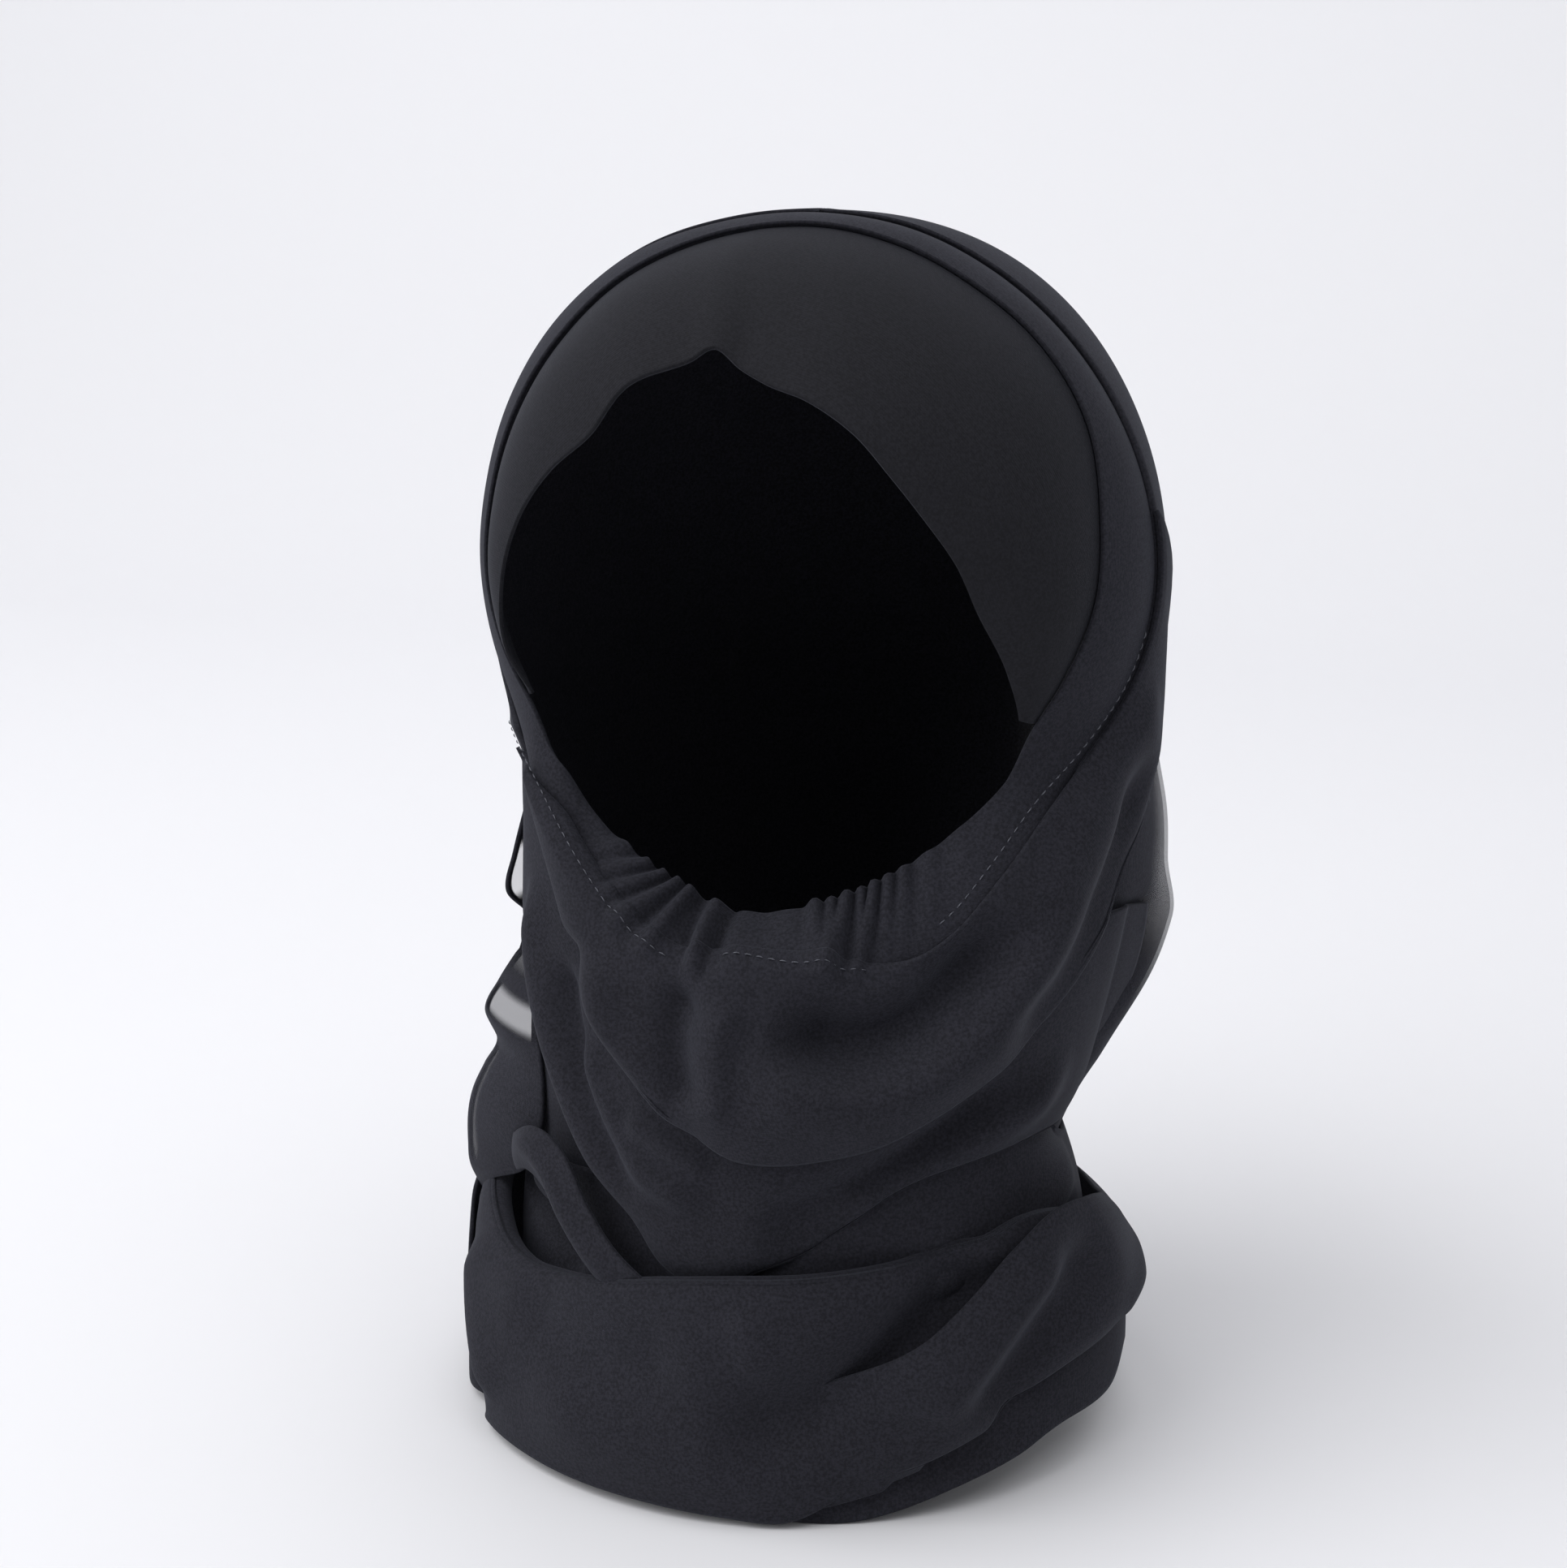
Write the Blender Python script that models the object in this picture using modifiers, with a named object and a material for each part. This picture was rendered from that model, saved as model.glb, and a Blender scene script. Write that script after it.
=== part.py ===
"""Instant hijab: a ready-sewn black veil in the shape it takes when it is worn.

Metres, +Z up. The origin is the inside of the crown, the face looks along -Y and
+X is the wearer's left. Every piece is one thin wall of cloth.

Places are given round the wearer. A turn is an azimuth in degrees, 0 at the face
and + to the wearer's left. A level is 0 at the crown, 1 at the chin and 2 at the
lowest hem. A reach is a share of the reference oval at that level.
"""
import bpy
import numpy as np

HEAD_HEIGHT = 0.204
NECK_DROP = 0.175
HEAD_HALF_WIDTH = 0.1045
HEAD_FRONT_DEPTH = 0.096
HEAD_BACK_DEPTH = 0.115
BASE_HALF_WIDTH = 0.112
BASE_FRONT_DEPTH = 0.102
BASE_BACK_DEPTH = 0.112
HEAD_LEAN = 0.0035
BASE_LEAN = -0.003
BAND_WIDTH = 0.044
BAND_CROWN = 0.008
GATHER_DEPTH = 0.0035
COWL_ROLL = 0.004
WRAP_ROLL = 0.0035
EDGE_ROLL = 0.002
CLOTH = 0.0012
CLEARANCE = 0.0005
SEAM_TUCK = 0.0004

LAYER = CLOTH + CLEARANCE
FACE_RISE_SHARE = 0.515
NECK_START = 0.75
NECK_END = 1.6
CASING_ROUND_SHARE = 0.07
GATHER_COUNT = 15
GATHER_START = 132.0
GATHER_FADE = 12.0
BAND_END = 114.0
CROWN_LEVEL = 0.56
CROWN_POWER = 2.2
HOOD_TURNS = (112.0, 180.0, 248.0)
HOOD_HEM_END = 120.0
HEM_MARGIN = 0.03
ROLL_ARC = (55, 110, 165)
LEAST_CURL = 0.05

WELD_DISTANCE = 0.00001

JERSEY_COLOUR = (0.012, 0.012, 0.017)
JERSEY_ROUGHNESS = 0.85
CREPE_COLOUR = (0.016, 0.016, 0.022)
CREPE_ROUGHNESS = 0.80

BAND_MESH = (33, 6)
CASING_SIDE_COLUMNS = 25
CASING_ROWS = 5
HOOD_UPPER_ROWS = 13
HOOD_SIDE_COLUMNS = 6
HOOD_BACK_COLUMNS = 13

PANEL_COLUMNS = ("across", "down", "layer")
PANELS = {
    "front_cowl": (40, 8, 1.0),
    "second_cowl": (34, 7, 1.0),
    "neck_wrap": (42, 5, 1.25),
    "lower_wrap": (42, 7, 1.0),
    "right_fold": (32, 6, 2.0),
    "left_fold": (9, 5, 2.0),
    "under_hem": (26, 4, 0.0),
    "side_tail": (34, 4, 1.0),
    "inner_fold": (14, 4, 2.0),
}

FACE_COLUMNS = ("angle", "inset", "fore", "seam", "seam_fore", "edge", "edge_fore")
FACE_LOOP = (
    (-172, 0.00, 0.80, 0.840, 0.80, 0.980, 0.985),
    (-165, 0.00, 0.77, 0.830, 0.77, 0.985, 0.960),
    (-157, 0.00, 0.74, 0.825, 0.74, 0.955, 0.920),
    (-148, 0.00, 0.70, 0.815, 0.70, 0.915, 0.860),
    (-137, 0.00, 0.64, 0.810, 0.64, 0.890, 0.760),
    (-126, 0.00, 0.59, 0.810, 0.585, 0.905, 0.590),
    (-116, 0.04, 0.545, 0.810, 0.55, 0.950, 0.370),
    (-104, 0.08, 0.57, 0.850, 0.50, 0.985, 0.220),
    (-90, 0.25, 0.62, 0.890, 0.45, 1.005, 0.125),
    (-75, 0.40, 0.68, 0.905, 0.43, 1.015, 0.090),
    (-60, 0.57, 0.76, 0.920, 0.44, 1.030, 0.070),
    (-45, 0.72, 0.82, 0.940, 0.44, 1.040, 0.060),
    (-30, 0.70, 0.83, 0.970, 0.38, 1.035, 0.050),
    (-15, 0.73, 0.80, 0.980, 0.28, 1.015, 0.050),
    (-9, 0.69, 0.78, 0.981, 0.27, 1.010, 0.050),
    (-4, 0.82, 0.79, 0.982, 0.27, 1.007, 0.050),
    (2, 0.90, 0.81, 0.982, 0.26, 1.005, 0.050),
    (15, 0.93, 0.84, 0.972, 0.25, 1.005, 0.050),
    (30, 0.95, 0.86, 0.958, 0.26, 0.995, 0.050),
    (45, 1.00, 0.86, 0.955, 0.28, 0.990, 0.060),
    (60, 0.96, 0.84, 0.940, 0.32, 0.990, 0.070),
    (75, 0.80, 0.80, 0.900, 0.40, 0.995, 0.090),
    (90, 0.65, 0.73, 0.870, 0.46, 0.997, 0.125),
    (104, 0.35, 0.63, 0.825, 0.52, 0.985, 0.220),
    (116, 0.08, 0.57, 0.795, 0.55, 0.960, 0.360),
    (126, 0.00, 0.585, 0.810, 0.585, 0.955, 0.550),
    (137, 0.00, 0.64, 0.810, 0.64, 0.985, 0.690),
    (148, 0.00, 0.695, 0.815, 0.695, 1.030, 0.800),
    (160, 0.00, 0.745, 0.830, 0.745, 1.035, 0.915),
    (170, 0.00, 0.79, 0.840, 0.79, 0.980, 0.985),
    (180, 0.00, 0.81, 0.850, 0.81, 0.940, 1.010),
)

HOOD_HEM_COLUMNS = ("level", "right_turn", "right", "left", "left_turn")
HOOD_HEM = (
    (0.83, 73, 0.895, 0.860, -62),
    (0.92, 76, 0.875, 0.825, -58),
    (1.01, 79, 0.860, 0.810, -57),
    (1.10, 81, 0.840, 0.805, -54),
    (1.20, 82, 0.810, 0.800, -50),
    (1.31, 83, 0.780, 0.790, -44),
    (1.43, 84, 0.740, 0.775, -38),
    (1.55, 86, 0.705, 0.760, -34),
)

HOOD_SIZE_COLUMNS = ("level", "flank", "back", "left_flank")
HOOD_SIZE = (
    (0.00, 1.010, 1.000, 0.975),
    (0.50, 0.992, 1.000, 0.975),
    (0.66, 0.985, 1.003, 0.965),
    (0.76, 0.990, 1.008, 0.950),
    (0.83, 1.020, 1.012, 0.930),
    (0.92, 1.055, 1.015, 0.905),
    (1.01, 1.065, 1.010, 0.885),
    (1.10, 1.070, 0.990, 0.870),
    (1.20, 1.030, 0.950, 0.855),
    (1.31, 0.935, 0.890, 0.835),
    (1.43, 0.810, 0.830, 0.810),
    (1.55, 0.715, 0.790, 0.785),
)

RIB_COLUMNS = ("turn", "level", "reach", "end_turn", "end_level", "end_reach", "bulge")

FRONT_COWL = (
    (-126, -36, 0.96, 0.930, 0.010),
    (-137, -32, 1.06, 0.940, 0.015),
    (-148, -26, 1.14, 0.955, 0.020),
    (-157, -19, 1.20, 0.965, 0.020),
    (-165, -12, 1.26, 0.975, 0.020),
    (-172, -6, 1.30, 0.980, 0.015),
    (-180, 3, 1.343, 0.985, 0.010),
    (-190, 18, 1.33, 0.990, 0.010),
    (-200, 35, 1.26, 0.990, 0.015),
    (-212, 57, 1.139, 0.990, 0.020),
    (-223, 72, 1.02, 0.990, 0.020),
    (-234, 80, 0.93, 0.995, 0.015),
    (-244, 88, 0.86, 1.000, 0.010),
    (-257, 96, 0.75, 0.990, 0.006),
    (-270, 100, 0.65, 0.988, 0.008),
    (-282, 100, 0.56, 1.005, 0.014),
)

SECOND_COWL = (
    (-64, 0.78, 0.890, -67, 1.00, 0.855, 0.008),
    (-58, 0.80, 0.885, -68, 1.11, 0.850, 0.012),
    (-50, 0.84, 0.865, -62, 1.165, 0.845, 0.015),
    (-42, 0.91, 0.850, -52, 1.24, 0.845, 0.015),
    (-34, 1.00, 0.840, -42, 1.33, 0.845, 0.015),
    (-26, 1.08, 0.850, -32, 1.43, 0.845, 0.015),
    (-18, 1.14, 0.870, -22, 1.505, 0.845, 0.015),
    (-10, 1.19, 0.870, -14, 1.59, 0.845, 0.015),
    (0, 1.22, 0.870, -4, 1.62, 0.845, 0.010),
    (10, 1.22, 0.870, 6, 1.57, 0.850, 0.010),
    (22, 1.18, 0.870, 17, 1.53, 0.850, 0.010),
    (36, 1.12, 0.870, 31, 1.45, 0.850, 0.010),
    (50, 1.06, 0.875, 45, 1.44, 0.850, 0.010),
    (66, 1.00, 0.885, 64, 1.44, 0.825, 0.010),
    (76, 1.00, 0.900, 76, 1.44, 0.800, 0.010),
    (86, 1.01, 0.925, 88, 1.43, 0.770, 0.010),
)

NECK_WRAP = (
    (-170, 1.50, 0.790, -170, 1.70, 0.800, 0.005),
    (-140, 1.50, 0.785, -140, 1.70, 0.800, 0.005),
    (-110, 1.50, 0.780, -110, 1.72, 0.800, 0.008),
    (-80, 1.50, 0.770, -80, 1.76, 0.805, 0.010),
    (-50, 1.48, 0.760, -50, 1.78, 0.790, 0.010),
    (-25, 1.45, 0.760, -25, 1.76, 0.785, 0.010),
    (0, 1.45, 0.770, 0, 1.72, 0.790, 0.008),
    (20, 1.45, 0.780, 20, 1.68, 0.800, 0.010),
    (36, 1.43, 0.780, 36, 1.66, 0.812, 0.015),
    (52, 1.42, 0.770, 52, 1.65, 0.815, 0.020),
    (70, 1.42, 0.750, 70, 1.65, 0.815, 0.020),
    (88, 1.45, 0.720, 88, 1.66, 0.810, 0.020),
    (104, 1.50, 0.740, 104, 1.67, 0.805, 0.015),
    (130, 1.50, 0.770, 130, 1.69, 0.795, 0.010),
    (160, 1.50, 0.785, 160, 1.70, 0.800, 0.005),
)

LOWER_WRAP = (
    (-168, 1.64, 0.885, -168, 2.00, 0.925, 0.012),
    (-150, 1.62, 0.900, -150, 2.00, 0.940, 0.015),
    (-130, 1.60, 0.925, -130, 2.00, 0.965, 0.018),
    (-100, 1.57, 0.930, -100, 2.00, 0.975, 0.015),
    (-78, 1.60, 0.925, -76, 1.99, 0.970, 0.012),
    (-64, 1.625, 0.925, -62, 1.975, 0.970, 0.016),
    (-50, 1.64, 0.935, -50, 1.97, 0.975, 0.025),
    (-38, 1.635, 0.935, -38, 1.965, 0.970, 0.025),
    (-25, 1.61, 0.935, -25, 1.97, 0.965, 0.022),
    (-12, 1.58, 0.935, -12, 1.98, 0.960, 0.022),
    (1, 1.56, 0.935, 1, 1.99, 0.960, 0.024),
    (15, 1.55, 0.930, 13, 1.99, 0.958, 0.022),
    (28, 1.54, 0.925, 24, 1.93, 0.945, 0.012),
    (39, 1.535, 0.920, 36, 1.86, 0.930, 0.006),
    (50, 1.515, 0.915, 48, 1.76, 0.915, 0.003),
    (60, 1.500, 0.905, 58, 1.70, 0.905, 0.003),
    (72, 1.530, 0.895, 72, 1.68, 0.895, 0.003),
    (86, 1.590, 0.885, 86, 1.69, 0.885, 0.003),
)

RIGHT_FOLD = (
    (4, 1.85, 0.970, 3, 1.965, 0.960, 0.000),
    (15, 1.775, 0.975, 14, 1.955, 0.970, 0.003),
    (27, 1.718, 0.985, 26, 1.925, 0.975, 0.008),
    (35, 1.667, 0.980, 35, 1.897, 0.975, 0.010),
    (44, 1.595, 0.970, 45, 1.86, 0.975, 0.014),
    (52, 1.530, 0.960, 54, 1.825, 0.970, 0.020),
    (62, 1.490, 0.945, 64, 1.79, 0.970, 0.025),
    (74, 1.510, 0.925, 76, 1.775, 0.975, 0.030),
    (90, 1.600, 0.890, 90, 1.77, 0.980, 0.035),
    (106, 1.660, 0.855, 106, 1.82, 0.980, 0.040),
    (130, 1.690, 0.850, 130, 1.92, 0.975, 0.040),
    (160, 1.660, 0.870, 160, 2.00, 0.975, 0.035),
    (190, 1.620, 0.920, 190, 2.00, 0.975, 0.030),
    (212, 1.615, 0.940, 212, 2.00, 0.975, 0.025),
    (226, 1.640, 0.950, 226, 2.00, 0.970, 0.015),
)

LEFT_FOLD = (
    (-76, 1.72, 0.950, -76, 1.91, 0.970, 0.004),
    (-84, 1.67, 0.960, -84, 1.96, 0.980, 0.008),
    (-94, 1.66, 0.965, -94, 1.98, 0.980, 0.010),
    (-106, 1.68, 0.950, -106, 1.99, 0.970, 0.006),
    (-118, 1.72, 0.900, -118, 1.99, 0.900, 0.000),
)

UNDER_HEM = (
    (-40, 1.86, 0.990, -40, 1.945, 1.000, 0.000),
    (-10, 1.87, 0.990, -10, 1.965, 1.000, 0.000),
    (11, 1.87, 0.940, 11, 2.00, 0.945, -0.004),
    (26, 1.86, 0.905, 26, 2.00, 0.945, -0.006),
    (44, 1.82, 0.895, 44, 1.949, 0.965, -0.004),
    (54, 1.78, 0.895, 54, 1.926, 0.965, 0.000),
    (64, 1.74, 0.905, 64, 1.900, 0.965, 0.004),
    (80, 1.73, 0.925, 80, 1.905, 0.965, 0.004),
    (92, 1.73, 0.940, 92, 1.88, 0.960, 0.004),
    (106, 1.76, 0.950, 106, 1.93, 0.960, 0.004),
    (125, 1.84, 0.955, 125, 1.99, 0.960, 0.004),
)

SIDE_TAIL = (
    (-98, 0.87, 0.000, -82, 0.88, 0.890, 0.000),
    (-98, 0.97, 0.000, -80, 0.98, 0.905, 0.004),
    (-98, 1.04, 0.000, -78, 1.05, 0.915, 0.004),
    (-98, 1.10, 0.000, -82, 1.11, 0.850, 0.000),
    (-98, 1.16, 0.000, -82, 1.17, 0.865, 0.000),
    (-98, 1.22, 0.000, -80, 1.23, 0.910, 0.004),
    (-98, 1.28, 0.000, -80, 1.29, 0.950, 0.004),
    (-98, 1.34, 0.000, -82, 1.35, 0.915, 0.000),
    (-98, 1.39, 0.000, -82, 1.40, 0.935, 0.004),
    (-98, 1.44, 0.850, -82, 1.45, 0.955, 0.004),
    (-98, 1.50, 0.930, -82, 1.50, 0.980, 0.004),
    (-98, 1.56, 0.965, -82, 1.56, 1.000, 0.002),
    (-98, 1.62, 0.965, -84, 1.61, 0.985, 0.000),
)

INNER_FOLD = (
    (-72, 1.530, 0.780, -71, 1.58, 0.780, 0.000),
    (-61, 1.500, 0.810, -62, 1.56, 0.815, 0.010),
    (-51, 1.510, 0.825, -54, 1.57, 0.830, 0.010),
    (-43, 1.560, 0.830, -48, 1.61, 0.835, 0.010),
    (-38, 1.620, 0.830, -43, 1.66, 0.835, 0.010),
    (-33, 1.680, 0.825, -38, 1.71, 0.830, 0.008),
)


def spline(knots, values, at):
    """Smooth curve through the rows: cubic pieces whose slopes are the mean slopes of the neighbours"""
    knots = np.asarray(knots, float)
    values = np.asarray(values, float)
    slopes = np.gradient(values, knots, axis=0)
    index = np.clip(np.searchsorted(knots, at, side="right") - 1, 0, len(knots) - 2)
    span = knots[index + 1] - knots[index]
    t = (at - knots[index]) / span
    shape = t.shape + (1,) * (values.ndim - 1)
    t = t.reshape(shape)
    span = span.reshape(shape)
    start = (2 * t**3 - 3 * t**2 + 1) * values[index] + (t**3 - 2 * t**2 + t) * span * slopes[index]
    end = (3 * t**2 - 2 * t**3) * values[index + 1] + (t**3 - t**2) * span * slopes[index + 1]
    return start + end


def spline_across(knots, values, at):
    """The same smooth curve along the last axis, where every row has knots of its own"""
    spans = np.diff(knots, axis=-1)
    rises = np.diff(values, axis=-1) / spans
    before = spans[..., :-1]
    after = spans[..., 1:]
    middle = (before * rises[..., 1:] + after * rises[..., :-1]) / (before + after)
    slopes = np.concatenate([rises[..., :1], middle, rises[..., -1:]], -1)
    index = np.sum(at[..., None] >= knots[..., 1:-1], -1)[..., None]

    def pick(array):
        return np.take_along_axis(array, index, -1)[..., 0]

    def pick_next(array):
        return np.take_along_axis(array, index + 1, -1)[..., 0]

    span = pick(spans)
    t = (at - pick(knots)) / span
    start = (2 * t**3 - 3 * t**2 + 1) * pick(values) + (t**3 - 2 * t**2 + t) * span * pick(slopes)
    end = (3 * t**2 - 2 * t**3) * pick_next(values) + (t**3 - t**2) * span * pick_next(slopes)
    return start + end


def unit(vectors):
    """The same vectors, one long"""
    return vectors / np.linalg.norm(vectors, axis=-1, keepdims=True)


def height(level):
    """Height of a level: the head from the crown to the chin, then the neck from there to the hem"""
    head = np.minimum(level, 1.0) * HEAD_HEIGHT
    neck = np.maximum(np.asarray(level) - 1.0, 0.0) * NECK_DROP
    return -(head + neck)


def level_of(z):
    """Level of a height"""
    above = np.minimum(-z / HEAD_HEIGHT, 1.0)
    below = np.maximum(-z - HEAD_HEIGHT, 0.0) / NECK_DROP
    return above + below


def from_head_to_base(head_size, base_size, level):
    """Size that eases from the head's to the base's between the two levels of the neck"""
    t = np.clip((np.asarray(level, float) - NECK_START) / (NECK_END - NECK_START), 0.0, 1.0)
    return head_size + (base_size - head_size) * t * t * (3 - 2 * t)


def lean(level):
    """Sideways place of the middle of the reference oval"""
    return from_head_to_base(HEAD_LEAN, BASE_LEAN, level)


def ring(turn, level):
    """Radius of the reference oval: half an ellipse for the front and half of another for the back"""
    angle = np.radians(turn)
    side = from_head_to_base(HEAD_HALF_WIDTH, BASE_HALF_WIDTH, level)
    front = from_head_to_base(HEAD_FRONT_DEPTH, BASE_FRONT_DEPTH, level)
    back = from_head_to_base(HEAD_BACK_DEPTH, BASE_BACK_DEPTH, level)
    depth = np.where(np.cos(angle) > 0, front, back)
    return side * depth / np.hypot(depth * np.sin(angle), side * np.cos(angle))


def place(turn, level, reach, layer=0):
    """World points of turns, levels and reaches, some layers of cloth further out"""
    radius = ring(turn, level) * reach + layer * LAYER
    angle = np.radians(turn)
    x = lean(level) + radius * np.sin(angle)
    y = -radius * np.cos(angle)
    return np.stack(np.broadcast_arrays(x, y, height(level)), -1)


def locate(points):
    """Turn, level and reach of world points"""
    level = level_of(points[..., 2])
    x = points[..., 0] - lean(level)
    turn = np.degrees(np.arctan2(x, -points[..., 1]))
    reach = np.hypot(x, points[..., 1]) / ring(turn, level)
    return turn, level, reach


def face_rows(angles):
    """The face table read at any angle, with its rows repeated before and after one turn"""
    table = np.array(FACE_LOOP, float)
    before = table - [360, 0, 0, 0, 0, 0, 0]
    after = table + [360, 0, 0, 0, 0, 0, 0]
    rows = np.vstack([before, table, after])
    return dict(zip(FACE_COLUMNS[1:], spline(rows[:, 0], rows[:, 1:], np.asarray(angles, float)).T))


def face_point(angles, radius_share, fore_share, inset=0.0):
    """Point of a loop round the face: polar in the front view about the face centre"""
    angle = np.radians(angles)
    rise = HEAD_HEIGHT * FACE_RISE_SHARE
    x = HEAD_LEAN + (HEAD_HALF_WIDTH * radius_share - inset) * np.sin(angle)
    z = -rise + (rise * radius_share - inset) * np.cos(angle)
    return np.stack(np.broadcast_arrays(x, -HEAD_FRONT_DEPTH * fore_share, z), -1)


def seam_loop(angles):
    """Seam where the casing meets the cloth inside it"""
    row = face_rows(angles)
    return face_point(angles, row["seam"], row["seam_fore"])


def edge_loop(angles):
    """Outer edge of the casing, on the hem of the hood"""
    row = face_rows(angles)
    return face_point(angles, row["edge"], row["edge_fore"])


def opening_loop(angles):
    """Edge of the face opening, inset from the seam by the band's width"""
    row = face_rows(angles)
    return face_point(angles, row["seam"], row["fore"], row["inset"] * BAND_WIDTH)


def outward(first, last):
    """Unit normals, on the side that looks forward, of the strip from one face loop to a larger one"""
    around = np.gradient(first + last, axis=0)
    across = last - first
    normal = unit(np.cross(around, across))
    return normal * np.sign(-normal[:, 1:2])


def roll_over(edge, tangent, away, radius, curl):
    """Strip of cloth that goes on from an edge along its tangent and curls back to the inside

    A curl of 1 is a full roll of the given radius. Less curl is the same length of cloth on
    a wider arc, for an edge that lies on the layer below it.
    """
    inward = unit(tangent * np.sum(away * tangent, -1, keepdims=True) - away)
    share = np.clip(curl, LEAST_CURL, 1.0)[:, None]
    arc = np.radians(np.asarray(ROLL_ARC, float))[:, None, None] * share
    wide = radius / share
    return edge + tangent * wide * np.sin(arc) + inward * wide * (1 - np.cos(arc))


def radial_direction(points):
    """Level unit vectors from the middle of the oval out to the points"""
    level = level_of(points[..., 2])
    flat = np.stack([points[..., 0] - lean(level), points[..., 1], np.zeros_like(level)], -1)
    return unit(flat)


def rib_reach(rib, v):
    """Reach along a rib: from its start to its end, bowed out by its bulge in the middle"""
    return rib["reach"] + (rib["end_reach"] - rib["reach"]) * v + rib["bulge"] * 4 * v * (1 - v)


def panel(rows, across, down, layer=0, top_roll=0.0, end_roll=0.0, closed=False, over=None, under=None):
    """Panel of ribs: each row of the table is one rib, straight in turn and level from start to end

    A closed panel goes once round, so its rows are repeated past both ends before they are
    read. A panel over another one never dips inside its reach, and a panel under another
    one never stands out of it. Rolls curl the top or the end of every rib to the inside.
    """
    table = np.array(rows, float)
    count = len(table)
    spot = np.linspace(0.0, count - 1.0, across)
    knots = np.arange(count)
    if closed:
        round_trip = np.array([360.0, 0.0, 0.0, 360.0, 0.0, 0.0, 0.0])
        table = np.vstack([table - round_trip, table, table + round_trip])
        knots = np.arange(-count, 2 * count)
        spot = np.linspace(0.0, count, across, endpoint=False)
    rib = dict(zip(RIB_COLUMNS, spline(knots, table, spot).T))
    v = np.linspace(0.0, 1.0, down)[:, None]
    turn = rib["turn"] + (rib["end_turn"] - rib["turn"]) * v
    level = rib["level"] + (rib["end_level"] - rib["level"]) * v
    reach = rib_reach(rib, v)
    curl = np.ones(across)
    if over:
        below = over(turn, level)
        reach = np.maximum(reach, below)
        if end_roll:
            room = (reach[-1] - below[-1]) * ring(turn[-1], level[-1])
            curl = np.clip(room / (2 * end_roll), 0, 1) ** 4
    if under:
        cover = under(turn, level)
        reach = np.where(cover > 0, np.minimum(reach, cover), reach)
    grid = place(turn, level, reach, layer)
    if top_roll:
        tangent = unit(grid[0] - grid[1])
        grid[0] = grid[0] - tangent * top_roll
        rolled = roll_over(grid[0], tangent, radial_direction(grid[0]), top_roll, curl)
        grid = np.concatenate([rolled[::-1], grid])
    if end_roll:
        tangent = unit(grid[-1] - grid[-2])
        grid[-1] = grid[-1] - tangent * end_roll
        rolled = roll_over(grid[-1], tangent, radial_direction(grid[-1]), end_roll, curl)
        grid = np.concatenate([grid, rolled])
    return grid


def forehead_band():
    """Peaked band of the inner cap, from the face opening back to its seam with the casing"""
    columns, rows = BAND_MESH
    angles = np.linspace(-BAND_END, BAND_END, columns)
    seam = seam_loop(angles)
    opening = opening_loop(angles)
    away = outward(opening, seam)
    seam = seam - away * (LAYER + SEAM_TUCK)
    crown = BAND_CROWN * face_rows(angles)["inset"]
    v = np.linspace(0.0, 1.0, rows)[:, None, None]
    return opening + (seam - opening) * v + away * crown[:, None] * 4 * v * (1 - v)


def face_casing():
    """Casing round the face: rounded over the brow, narrow at the cheeks and gathered under the chin

    Its columns stand closer at the chin, one on each ridge and one in each valley of the
    gathers. Its outer edge tucks one layer under the hood's hem.
    """
    gathered = 360.0 - 2 * GATHER_START
    sides = np.linspace(-HOOD_HEM_END, HOOD_HEM_END, CASING_SIDE_COLUMNS)
    chin = 180.0 + np.arange(-GATHER_COUNT, GATHER_COUNT + 1) * gathered / (2 * GATHER_COUNT)
    angles = np.concatenate([sides, chin])
    from_brow = np.abs(np.mod(angles + 180.0, 360.0) - 180.0)
    seam = seam_loop(angles)
    edge = edge_loop(angles)
    away = outward(seam, edge)
    under_hood = from_brow < GATHER_START
    edge = edge - away * LAYER * under_hood[:, None]
    v = np.linspace(0.0, 1.0, CASING_ROWS)[:, None, None]
    width = np.linalg.norm(edge - seam, axis=-1, keepdims=True)
    grid = seam + (edge - seam) * v + away * width * CASING_ROUND_SHARE * 4 * v * (1 - v)
    fade = np.clip((from_brow - GATHER_START) / GATHER_FADE, 0, 1)
    wave = np.cos(np.radians(angles - 180.0) * GATHER_COUNT * 360.0 / gathered) * fade
    return grid + away * GATHER_DEPTH / 2 * wave[:, None] * (1 - v)


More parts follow.
